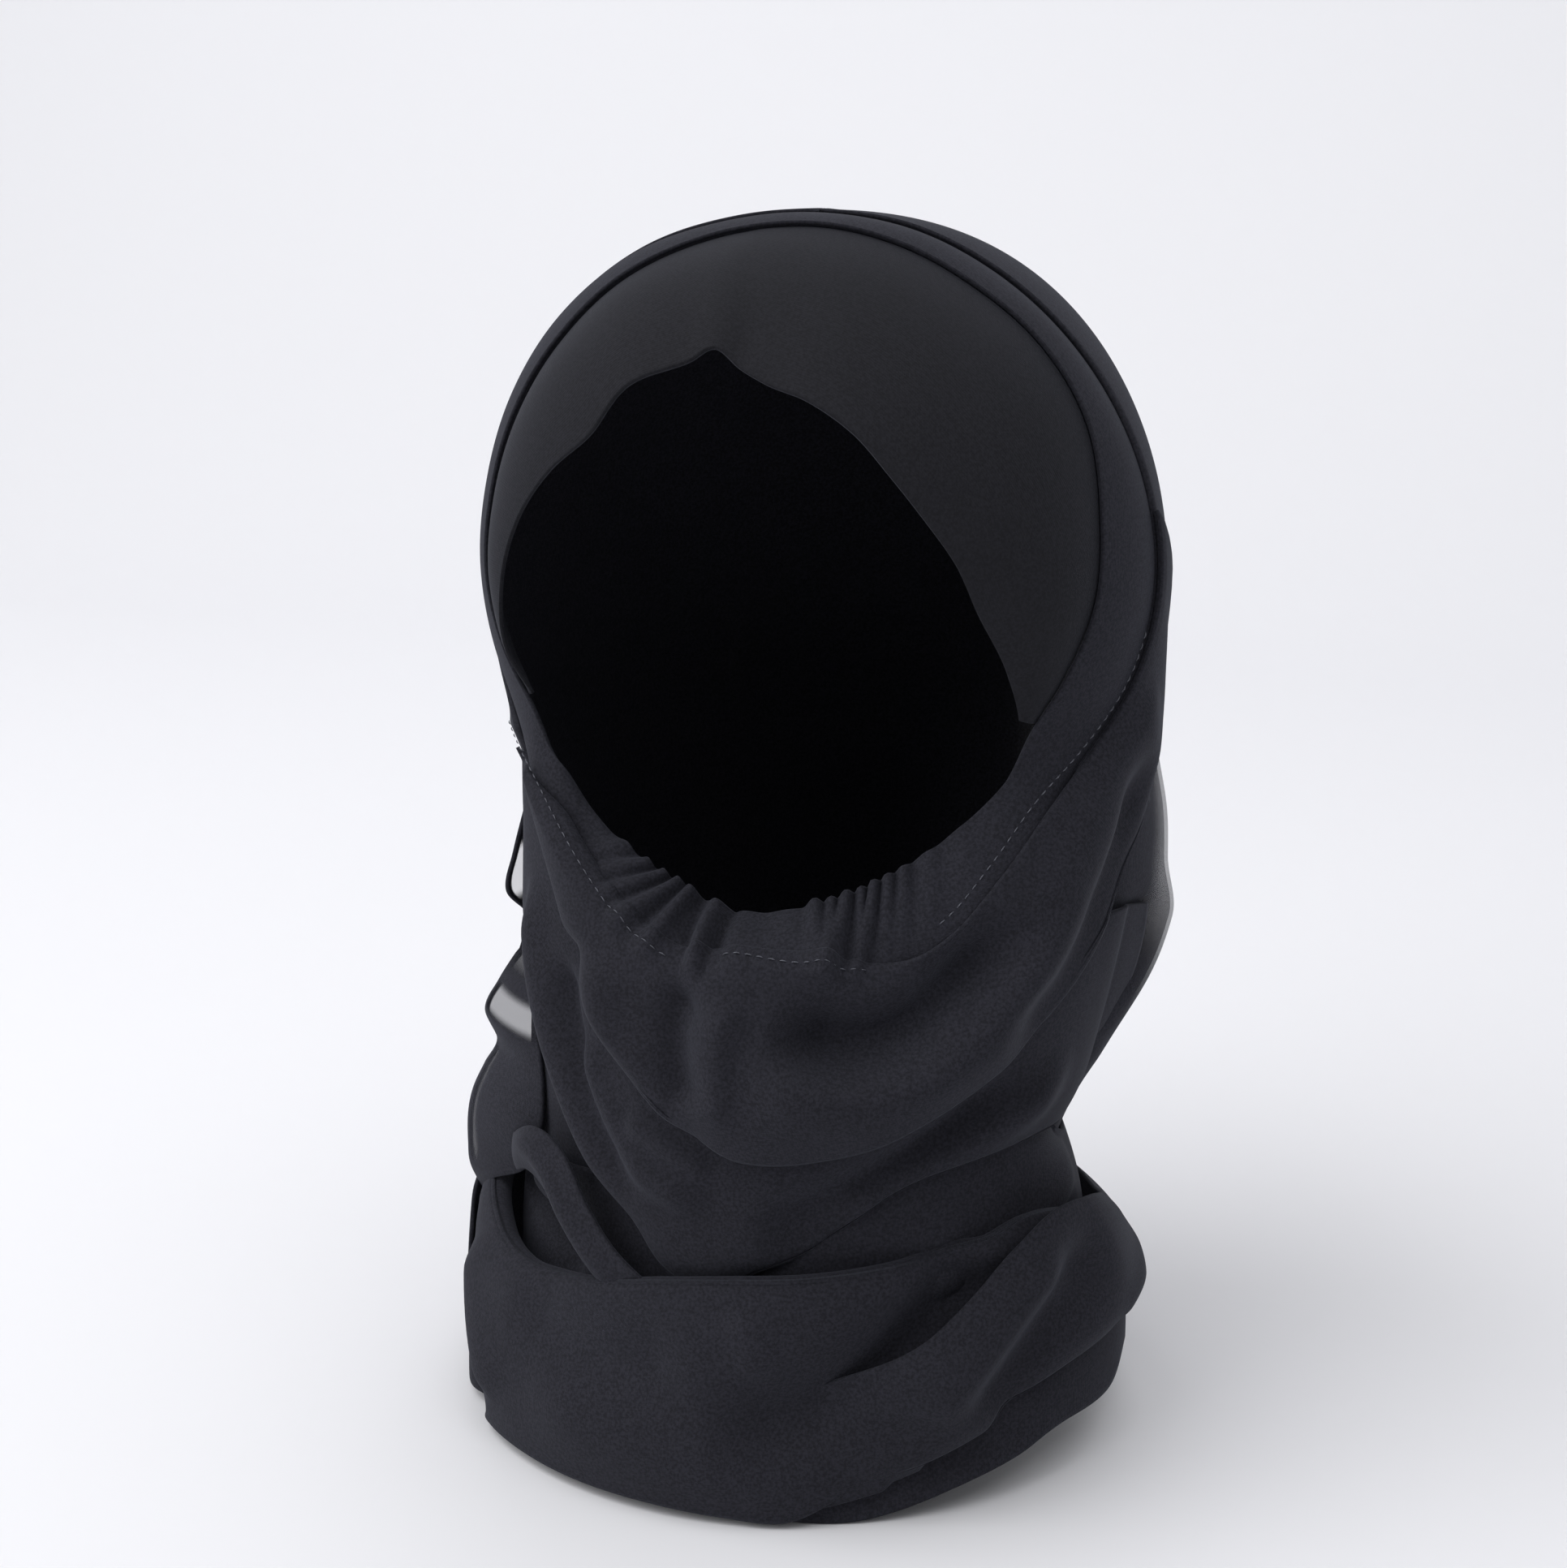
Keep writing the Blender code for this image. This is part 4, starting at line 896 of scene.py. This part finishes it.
def front_cowl_rows(form):
    """Ribs of the first cowl: each starts on the face edge at the angle in its row"""
    table = np.array(FRONT_COWL, float)[::-1]
    turn, level, reach = form.locate(form.edge_loop(table[:, 0]))
    return np.column_stack([turn, level, reach, table[:, 1:]])


def cowl_hem(form, angles, rows=14):
    """Hem of the first cowl over the casing, along the chin and the right cheek

    It runs from its rounded rim out to the casing's edge, a layer above the casing and its gathers.
    """
    seam = form.seam_loop(angles)
    edge = form.edge_loop(angles)
    away = outward(seam, edge)
    across = seam - edge
    width = np.linalg.norm(across, axis=-1, keepdims=True)
    start, full, last, end = HEM_TURNS
    present = (smooth((angles - start) / (full - start)) * smooth((end - angles) / (end - last)))[:, None]
    t = np.linspace(1.0, 0.0, rows, endpoint=False)[:, None, None]
    share = HEM_WIDTH * present * t / width
    relief = gather_relief(form, angles[:, None], 1 - share)
    lift = form.layer * HEM_LAYERS * (1 - t**6 * HEM_RIM) + np.maximum(relief, HEM_SAG)
    bulge = width * CASING_ROUND_SHARE * 4 * share * (1 - share)
    return edge + across * share + away * (lift + bulge)


def front_cowl(form, columns=340, rows=90):
    """First cowl: its panel, with the hem over the casing joined on at the top"""
    table = np.array(FRONT_COWL, float)[::-1]
    grid = panel(form, "front_cowl", front_cowl_rows(form), columns, rows, layer=1,
                 end_roll=form.s.cowl_roll, over=hood_reach, ease=(0.0, 0.2, 0.005, 0.28))
    angles = spline(np.arange(len(table)), table[:, 0], np.linspace(0.0, len(table) - 1.0, columns)) + 360.0
    hem = cowl_hem(form, angles)
    blend = smooth(np.arange(1, JOIN_ROWS + 1) / (JOIN_ROWS + 1.0))[:, None, None]
    joined = hem[-1] + (grid[JOIN_ROWS] - hem[-1]) * blend
    mixed = joined * (1 - blend) + grid[:JOIN_ROWS] * blend
    return np.concatenate([hem, mixed, grid[JOIN_ROWS:]])


def stitch_dashes(form, first, last, start_inset, end_inset):
    """First ends, last ends and normals of the stitches of one line, one pitch apart along the edge"""
    angles = np.linspace(first, last, 1200)
    seam = form.seam_loop(angles)
    edge = form.edge_loop(angles)
    away = outward(seam, edge)
    inset = np.linspace(start_inset, end_inset, len(angles))[:, None] / 1000
    across = seam - edge
    width = np.linalg.norm(across, axis=-1, keepdims=True)
    share = inset / width
    relief = gather_relief(form, angles[:, None], 1 - share)
    on_hem = smooth((angles[:, None] - HEM_TURNS[0]) / (HEM_TURNS[1] - HEM_TURNS[0]))
    fold = np.where(on_hem > 0.5, np.maximum(relief, HEM_SAG), relief)
    lift = form.s.cloth / 2 + (form.layer * HEM_LAYERS + STITCH_LIFT) * on_hem + fold
    bulge = width * CASING_ROUND_SHARE * 4 * share * (1 - share)
    line = edge + across * share + away * (lift + bulge)
    run = np.concatenate([[0.0], np.cumsum(np.linalg.norm(np.diff(line, axis=0), axis=-1))])
    at = np.arange(0.001, run[-1] - 0.002, STITCH_PITCH)

    def along_line(values, spots):
        return np.stack([np.interp(spots, run, column) for column in values.T], -1)

    return along_line(line, at), along_line(line, at + STITCH_LENGTH), unit(along_line(away, at))


def stitches(form):
    """Grid of every stitch: a short thread, round in section, that dips into the cloth at both ends"""
    lines = [stitch_dashes(form, *row) for row in STITCHES]
    first = np.concatenate([line[0] for line in lines])[:, None, None]
    last = np.concatenate([line[1] for line in lines])[:, None, None]
    normal = np.concatenate([line[2] for line in lines])[:, None, None]
    along = unit(last - first)
    side = np.cross(along, normal)
    t = np.linspace(0.0, 1.0, 7)[:, None, None]
    ring = np.radians(np.arange(0, 360, 60))[:, None]
    arch = np.sin(np.pi * t)
    middle = first + (last - first) * t + normal * STITCH_RADIUS * ((1 + STITCH_DIP) * arch - STITCH_DIP)
    return middle + STITCH_RADIUS * np.sqrt(np.abs(arch)) * (side * np.cos(ring) + normal * np.sin(ring))


def link(name, mesh):
    """Object of a mesh, in the scene"""
    piece = bpy.data.objects.new(name, mesh)
    bpy.context.scene.collection.objects.link(piece)
    return piece


def grid_mesh(name, grid, closed=False):
    """Mesh of a grid of points, with the grid's own coordinates in metres as its UV map"""
    rows, columns = grid.shape[:2]
    index = np.arange(rows * columns).reshape(rows, columns)
    following = np.roll(index, -1, axis=1) if closed else index[:, 1:]
    here = index if closed else index[:, :-1]
    quads = np.stack([here[:-1], here[1:], following[1:], following[:-1]], -1).reshape(-1, 4)
    mesh = bpy.data.meshes.new(name)
    mesh.from_pydata(grid.reshape(-1, 3).tolist(), [], quads.tolist())
    mesh.update()
    mesh.shade_smooth()
    steps_across = np.linalg.norm(np.diff(grid, axis=1), axis=-1)
    steps_down = np.linalg.norm(np.diff(grid, axis=0), axis=-1)
    across = np.concatenate([np.zeros((rows, 1)), np.cumsum(steps_across, 1)], 1)
    down = np.concatenate([np.zeros((1, columns)), np.cumsum(steps_down, 0)], 0)
    flat = np.stack([across, down], -1).reshape(-1, 2)
    layer = mesh.uv_layers.new(name="Cloth")
    layer.data.foreach_set("uv", flat[quads.reshape(-1)].reshape(-1))
    return mesh


def tubes_mesh(name, tubes):
    """One mesh of many short tubes, each a grid of rings"""
    count, rows, columns = tubes.shape[:3]
    index = np.arange(count * rows * columns).reshape(count, rows, columns)
    following = np.roll(index, -1, axis=2)
    quads = np.stack([index[:, :-1], index[:, 1:], following[:, 1:], following[:, :-1]], -1).reshape(-1, 4)
    mesh = bpy.data.meshes.new(name)
    mesh.from_pydata(tubes.reshape(-1, 3).tolist(), [], quads.tolist())
    mesh.update()
    mesh.shade_smooth()
    return mesh


def cloth_piece(context, name, grid, material, closed=False, offset=0.0, sheer=None):
    """Piece of cloth: the grid's mesh with a wall on it, which stands for the frame's node of that name"""
    mesh = grid_mesh(name + "_cloth", grid, closed)
    amount = np.zeros(grid.shape[0] * grid.shape[1], np.float32)
    if sheer is not None:
        amount = sheer.reshape(-1).astype(np.float32)
    mesh.attributes.new("sheer", "FLOAT", "POINT").data.foreach_set("value", amount)
    mesh.materials.append(material)
    piece = link(name + "_cloth", mesh)
    wall = piece.modifiers.new("Cloth", "SOLIDIFY")
    wall.thickness = context.scene.veil.cloth
    wall.offset = offset
    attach(piece, "root")
    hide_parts(name)
    return piece


def band_mask(value, start, full, last, end):
    """1 between full and last, 0 outside start and end, and smooth between them"""
    return smooth((value - start) / (full - start)) * smooth((end - value) / (end - last))


def hood_sheer(form, grid):
    """Share of light that the hood's single layer lets through, over its right flank"""
    turn, level, _ = form.locate(grid)
    flank = band_mask(np.mod(turn, 360.0), *HOOD_SHEER_TURNS)
    return HOOD_SHEER * flank * band_mask(level, *HOOD_SHEER_LEVELS)


def tail_sheer(form, grid):
    """Share of light that the side tail lets through: two loops and a strip, with dark rolled hems"""
    _, level, _ = form.locate(grid)
    from_edge = np.linalg.norm(grid - grid[-1], axis=-1)
    hem = smooth((from_edge - TAIL_HEM) / TAIL_HEM_FADE)
    loops = sum(share * band_mask(level, *levels) for share, *levels in TAIL_LOOPS)
    share, *levels = TAIL_STRIP
    strip = share * band_mask(level, *levels) * smooth((STRIP_WIDTH - from_edge) / STRIP_FADE)
    return (loops + strip) * hem


def add_node(tree, kind, values=None, **settings):
    """Node of a kind in a tree, with its settings, and with constants on its inputs"""
    node = tree.nodes.new(kind)
    for name, value in settings.items():
        setattr(node, name, value)
    for socket, value in (values or {}).items():
        node.inputs[socket].default_value = value
    return node


def crepe_group():
    """Node group of the crepe: its twisted grain, its weave and its slow changes of tone

    The colour is scaled by the fine noise, by up to the grain's share either way, and by a slow
    noise near 1. The height is the fine noise plus half of the warp and half of the weft.
    """
    name = "Crepe grain"
    if name in bpy.data.node_groups:
        return bpy.data.node_groups[name]
    group = bpy.data.node_groups.new(name, "ShaderNodeTree")
    for socket, side, kind in (
        ("Colour", "INPUT", "NodeSocketColor"),
        ("Grain", "INPUT", "NodeSocketFloat"),
        ("Colour", "OUTPUT", "NodeSocketColor"),
        ("Height", "OUTPUT", "NodeSocketFloat"),
    ):
        group.interface.new_socket(socket, in_out=side, socket_type=kind)
    inputs = add_node(group, "NodeGroupInput")
    outputs = add_node(group, "NodeGroupOutput")
    place = add_node(group, "ShaderNodeTexCoord")
    uv = add_node(group, "ShaderNodeUVMap", uv_map="Cloth")
    grain = add_node(group, "ShaderNodeTexNoise", {"Scale": GRAIN_SCALE, "Detail": 2.0})
    slow = add_node(group, "ShaderNodeTexNoise", {"Scale": TONE_SCALE, "Detail": 3.0})
    weave = {"Scale": WEAVE_SCALE, "Distortion": 1.5}
    warp = add_node(group, "ShaderNodeTexWave", weave, bands_direction="X")
    weft = add_node(group, "ShaderNodeTexWave", weave, bands_direction="Y")
    with_warp = add_node(group, "ShaderNodeMath", {1: 0.5}, operation="MULTIPLY_ADD")
    height = add_node(group, "ShaderNodeMath", {1: 0.5}, operation="MULTIPLY_ADD")
    low = add_node(group, "ShaderNodeMath", {0: 1.0}, operation="SUBTRACT")
    high = add_node(group, "ShaderNodeMath", {0: 1.0}, operation="ADD")
    fine = add_node(group, "ShaderNodeMapRange", {"From Min": 0.35, "From Max": 0.65})
    wide = add_node(group, "ShaderNodeMapRange",
                    {"From Min": 0.3, "From Max": 0.7, "To Min": 0.93, "To Max": 1.07})
    both = add_node(group, "ShaderNodeMath", operation="MULTIPLY")
    scale = add_node(group, "ShaderNodeVectorMath", operation="SCALE")
    for source, target in (
        (place.outputs["Object"], grain.inputs["Vector"]),
        (place.outputs["Object"], slow.inputs["Vector"]),
        (uv.outputs["UV"], warp.inputs["Vector"]),
        (uv.outputs["UV"], weft.inputs["Vector"]),
        (warp.outputs["Fac"], with_warp.inputs[0]),
        (grain.outputs["Fac"], with_warp.inputs[2]),
        (weft.outputs["Fac"], height.inputs[0]),
        (with_warp.outputs[0], height.inputs[2]),
        (inputs.outputs["Grain"], low.inputs[1]),
        (inputs.outputs["Grain"], high.inputs[1]),
        (grain.outputs["Fac"], fine.inputs["Value"]),
        (low.outputs[0], fine.inputs["To Min"]),
        (high.outputs[0], fine.inputs["To Max"]),
        (slow.outputs["Fac"], wide.inputs["Value"]),
        (fine.outputs["Result"], both.inputs[0]),
        (wide.outputs["Result"], both.inputs[1]),
        (inputs.outputs["Colour"], scale.inputs[0]),
        (both.outputs[0], scale.inputs["Scale"]),
        (scale.outputs[0], outputs.inputs["Colour"]),
        (height.outputs[0], outputs.inputs["Height"]),
    ):
        group.links.new(source, target)
    return group


def cloth_material(name, colour, grain, roughness, sheen):
    """Black cloth: the crepe group's tone and relief, with a soft sheen at grazing angles"""
    if name in bpy.data.materials:
        return bpy.data.materials[name]
    material = bpy.data.materials.new(name)
    material.use_nodes = True
    tree = material.node_tree
    shader = tree.nodes["Principled BSDF"]
    shader.inputs["Roughness"].default_value = roughness
    shader.inputs["Specular IOR Level"].default_value = 0.15
    shader.inputs["Sheen Weight"].default_value = sheen
    shader.inputs["Sheen Roughness"].default_value = 0.5
    shader.inputs["Sheen Tint"].default_value = (0.75, 0.8, 1.0, 1.0)
    group = add_node(tree, "ShaderNodeGroup", node_tree=crepe_group())
    group.inputs["Colour"].default_value = (*colour, 1.0)
    group.inputs["Grain"].default_value = grain
    bump = add_node(tree, "ShaderNodeBump", {"Strength": 0.25, "Distance": 0.0002})
    sheer = add_node(tree, "ShaderNodeAttribute", attribute_name="sheer")
    alpha = add_node(tree, "ShaderNodeMath", {0: 1.0}, operation="SUBTRACT")
    for source, target in (
        (group.outputs["Colour"], shader.inputs["Base Color"]),
        (group.outputs["Height"], bump.inputs["Height"]),
        (bump.outputs["Normal"], shader.inputs["Normal"]),
        (sheer.outputs["Fac"], alpha.inputs[1]),
        (alpha.outputs[0], shader.inputs["Alpha"]),
    ):
        tree.links.new(source, target)
    return material


def crepe(context):
    """Light twisted crepe of the hood and the drapes"""
    colour = context.scene.veil.base_colour
    return cloth_material("Crepe", colour, grain=0.30, roughness=0.88, sheen=0.05)


def jersey(context):
    """Smoother jersey of the cap's band"""
    colour = context.scene.veil.band_colour
    return cloth_material("Jersey", colour, grain=0.22, roughness=0.85, sheen=0.06)


def thread(context):
    """Twisted sewing thread, a little lighter than the cloth"""
    material = bpy.data.materials.new("Thread")
    material.use_nodes = True
    tree = material.node_tree
    shader = tree.nodes["Principled BSDF"]
    shader.inputs["Roughness"].default_value = 0.55
    place = add_node(tree, "ShaderNodeTexCoord")
    ply = add_node(tree, "ShaderNodeTexNoise", {"Scale": 2500.0})
    tone = add_node(tree, "ShaderNodeValToRGB")
    tone.color_ramp.elements[0].position = 0.35
    tone.color_ramp.elements[0].color = (0.035, 0.037, 0.05, 1.0)
    tone.color_ramp.elements[1].position = 0.65
    tone.color_ramp.elements[1].color = (0.11, 0.115, 0.14, 1.0)
    tree.links.new(place.outputs["Object"], ply.inputs["Vector"])
    tree.links.new(ply.outputs["Fac"], tone.inputs["Fac"])
    tree.links.new(tone.outputs["Color"], shader.inputs["Base Color"])
    return material


class VEIL_OT_band(bpy.types.Operator):
    """Builds the cap's peaked band"""

    bl_idname = "veil.band"
    bl_label = "Band"

    def execute(self, context):
        form = Form(context.scene.veil)
        cloth_piece(context, "forehead_band", forehead_band(form), jersey(context))
        return {"FINISHED"}


class VEIL_OT_casing(bpy.types.Operator):
    """Builds the casing round the face and its gathers under the chin"""

    bl_idname = "veil.casing"
    bl_label = "Casing"

    def execute(self, context):
        form = Form(context.scene.veil)
        cloth_piece(context, "face_casing", face_casing(form), crepe(context), closed=True)
        return {"FINISHED"}


class VEIL_OT_hood(bpy.types.Operator):
    """Builds the hood"""

    bl_idname = "veil.hood"
    bl_label = "Hood"

    def execute(self, context):
        form = Form(context.scene.veil)
        grid = hood(form)
        cloth_piece(context, "hood", grid, crepe(context), sheer=hood_sheer(form, grid))
        return {"FINISHED"}


class VEIL_OT_drapes(bpy.types.Operator):
    """Builds the cowls, wraps, folds and hems that hang from the hood"""

    bl_idname = "veil.drapes"
    bl_label = "Drapes"

    def execute(self, context):
        s = context.scene.veil
        form = Form(s)
        panels = (
            ("second_cowl", SECOND_COWL, 260, 70,
             {"layer": 1, "end_roll": s.edge_roll, "over": hood_reach, "sink": (0.0, 0.07),
              "ease": (0.0, 0.2, 0.003, 0.25)}),
            ("neck_wrap", NECK_WRAP, 300, 30, {"layer": 1.25, "closed": True, "over": hood_reach}),
            ("lower_wrap", LOWER_WRAP, 300, 60,
             {"layer": 1, "top_roll": s.wrap_roll, "ease": (0.0045, 0.22, 0.0, 0.2)}),
            ("right_fold", RIGHT_FOLD, 300, 60,
             {"layer": 2, "end_roll": s.edge_roll, "over": lower_wrap_reach, "sink": (0.24, 0.0),
              "ease": (0.003, 0.25, 0.003, 0.2)}),
            ("left_fold", LEFT_FOLD, 60, 40, {"layer": 2, "over": lower_wrap_reach}),
            ("under_hem", UNDER_HEM, 160, 20, {"under": lower_wrap_reach}),
            ("side_tail", SIDE_TAIL, 160, 30, {"layer": 1, "over": hood_reach}),
            ("inner_fold", INNER_FOLD, 90, 20, {"layer": 2, "over": neck_wrap_reach}),
        )
        cloth = crepe(context)
        cloth_piece(context, "front_cowl", front_cowl(form), cloth)
        for name, rows, across, down, fit in panels:
            grid = panel(form, name, rows, across, down, **fit)
            sheer = tail_sheer(form, grid) if name == "side_tail" else None
            cloth_piece(context, name, grid, cloth, closed=fit.get("closed", False), sheer=sheer)
        return {"FINISHED"}


class VEIL_OT_stitches(bpy.types.Operator):
    """Builds the stitching round the face"""

    bl_idname = "veil.stitches"
    bl_label = "Stitches"

    def execute(self, context):
        form = Form(context.scene.veil)
        mesh = tubes_mesh("stitches", stitches(form))
        mesh.materials.append(thread(context))
        piece = link("stitches", mesh)
        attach(piece, "root")
        return {"FINISHED"}


def sweep(low):
    """Studio sweep: a level floor, a quarter circle behind it and an upright wall above that"""
    turn = np.radians(np.arange(5, 91, 5))
    run = np.concatenate([
        np.linspace(FLOOR_FRONT, FLOOR_BACK, 20),
        FLOOR_BACK + SWEEP_RADIUS * np.sin(turn),
        np.full(6, FLOOR_BACK + SWEEP_RADIUS),
    ])
    rise = np.concatenate([
        np.zeros(20),
        SWEEP_RADIUS * (1 - np.cos(turn)),
        SWEEP_RADIUS + np.linspace(0.3, WALL_HEIGHT, 6),
    ])
    side = np.linspace(-FLOOR_HALF_WIDTH, FLOOR_HALF_WIDTH, 12)
    return np.stack(np.broadcast_arrays(side, run[:, None], low + rise[:, None]), -1)


class VEIL_OT_stage(bpy.types.Operator):
    """Builds the floor and the lights"""

    bl_idname = "veil.stage"
    bl_label = "Stage"

    def execute(self, context):
        s = context.scene.veil
        low = -(s.head_height + s.neck_drop) - FLOOR_GAP
        floor = link("floor", grid_mesh("floor", sweep(low)))
        material = bpy.data.materials.new("Floor")
        material.use_nodes = True
        shader = material.node_tree.nodes["Principled BSDF"]
        shader.inputs["Base Color"].default_value = (*s.floor_colour, 1.0)
        shader.inputs["Roughness"].default_value = 0.6
        floor.data.materials.append(material)
        world = bpy.data.worlds.new("Studio")
        world.use_nodes = True
        background = world.node_tree.nodes["Background"]
        background.inputs["Color"].default_value = WORLD_COLOUR
        background.inputs["Strength"].default_value = WORLD_STRENGTH
        context.scene.world = world
        context.scene.view_settings.view_transform = "Standard"
        context.scene.view_settings.look = "None"
        for name, spot, power, size in LIGHTS:
            lamp = bpy.data.lights.new(name, "AREA")
            lamp.energy = power
            lamp.size = size
            holder = bpy.data.objects.new(name, lamp)
            holder.location = spot
            holder.rotation_mode = "QUATERNION"
            holder.rotation_quaternion = (Vector(LIGHT_AIM) - Vector(spot)).to_track_quat("-Z", "Y")
            context.scene.collection.objects.link(holder)
        return {"FINISHED"}


class VEIL_PT_panel(bpy.types.Panel):
    """Lists the veil's operators and sizes"""

    bl_label = "Instant hijab"
    bl_idname = "VEIL_PT_panel"
    bl_space_type = "VIEW_3D"
    bl_region_type = "UI"
    bl_category = "Veil"

    def draw(self, context):
        for operator in OPERATORS:
            self.layout.operator(operator.bl_idname)
        for size in VeilSettings.__annotations__:
            self.layout.prop(context.scene.veil, size)


OPERATORS = (VEIL_OT_hood, VEIL_OT_casing, VEIL_OT_band, VEIL_OT_drapes, VEIL_OT_stitches, VEIL_OT_stage)
CLASSES = (VeilSettings, *OPERATORS, VEIL_PT_panel)


def register():
    """Registers the classes and gives the scene its settings"""
    for item in CLASSES:
        bpy.utils.register_class(item)
    bpy.types.Scene.veil = bpy.props.PointerProperty(type=VeilSettings)


def unregister():
    """Takes the settings and the classes away again"""
    del bpy.types.Scene.veil
    for item in reversed(CLASSES):
        bpy.utils.unregister_class(item)


def add_camera(context):
    """Camera that looks down on the veil from its front left"""
    turn = np.radians(CAMERA_TURN)
    back = np.array((np.sin(turn), -np.cos(turn), 0.0))
    right = np.array((np.cos(turn), np.sin(turn), 0.0))
    camera = bpy.data.cameras.new("Camera")
    camera.lens = CAMERA_LENS
    camera.sensor_width = 36.0
    holder = bpy.data.objects.new("Camera", camera)
    holder.location = CAMERA_AWAY * back - CAMERA_ASIDE * right + np.array((0.0, 0.0, CAMERA_HEIGHT))
    holder.rotation_euler = (np.radians(90.0 - CAMERA_TILT), 0.0, turn)
    context.scene.collection.objects.link(holder)
    context.scene.camera = holder


def main():
    """Builds the camera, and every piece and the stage"""
    register()
    add_camera(bpy.context)
    bpy.ops.veil.hood()
    bpy.ops.veil.casing()
    bpy.ops.veil.band()
    bpy.ops.veil.drapes()
    bpy.ops.veil.stitches()
    bpy.ops.veil.stage()


if __name__ == "__main__":
    main()
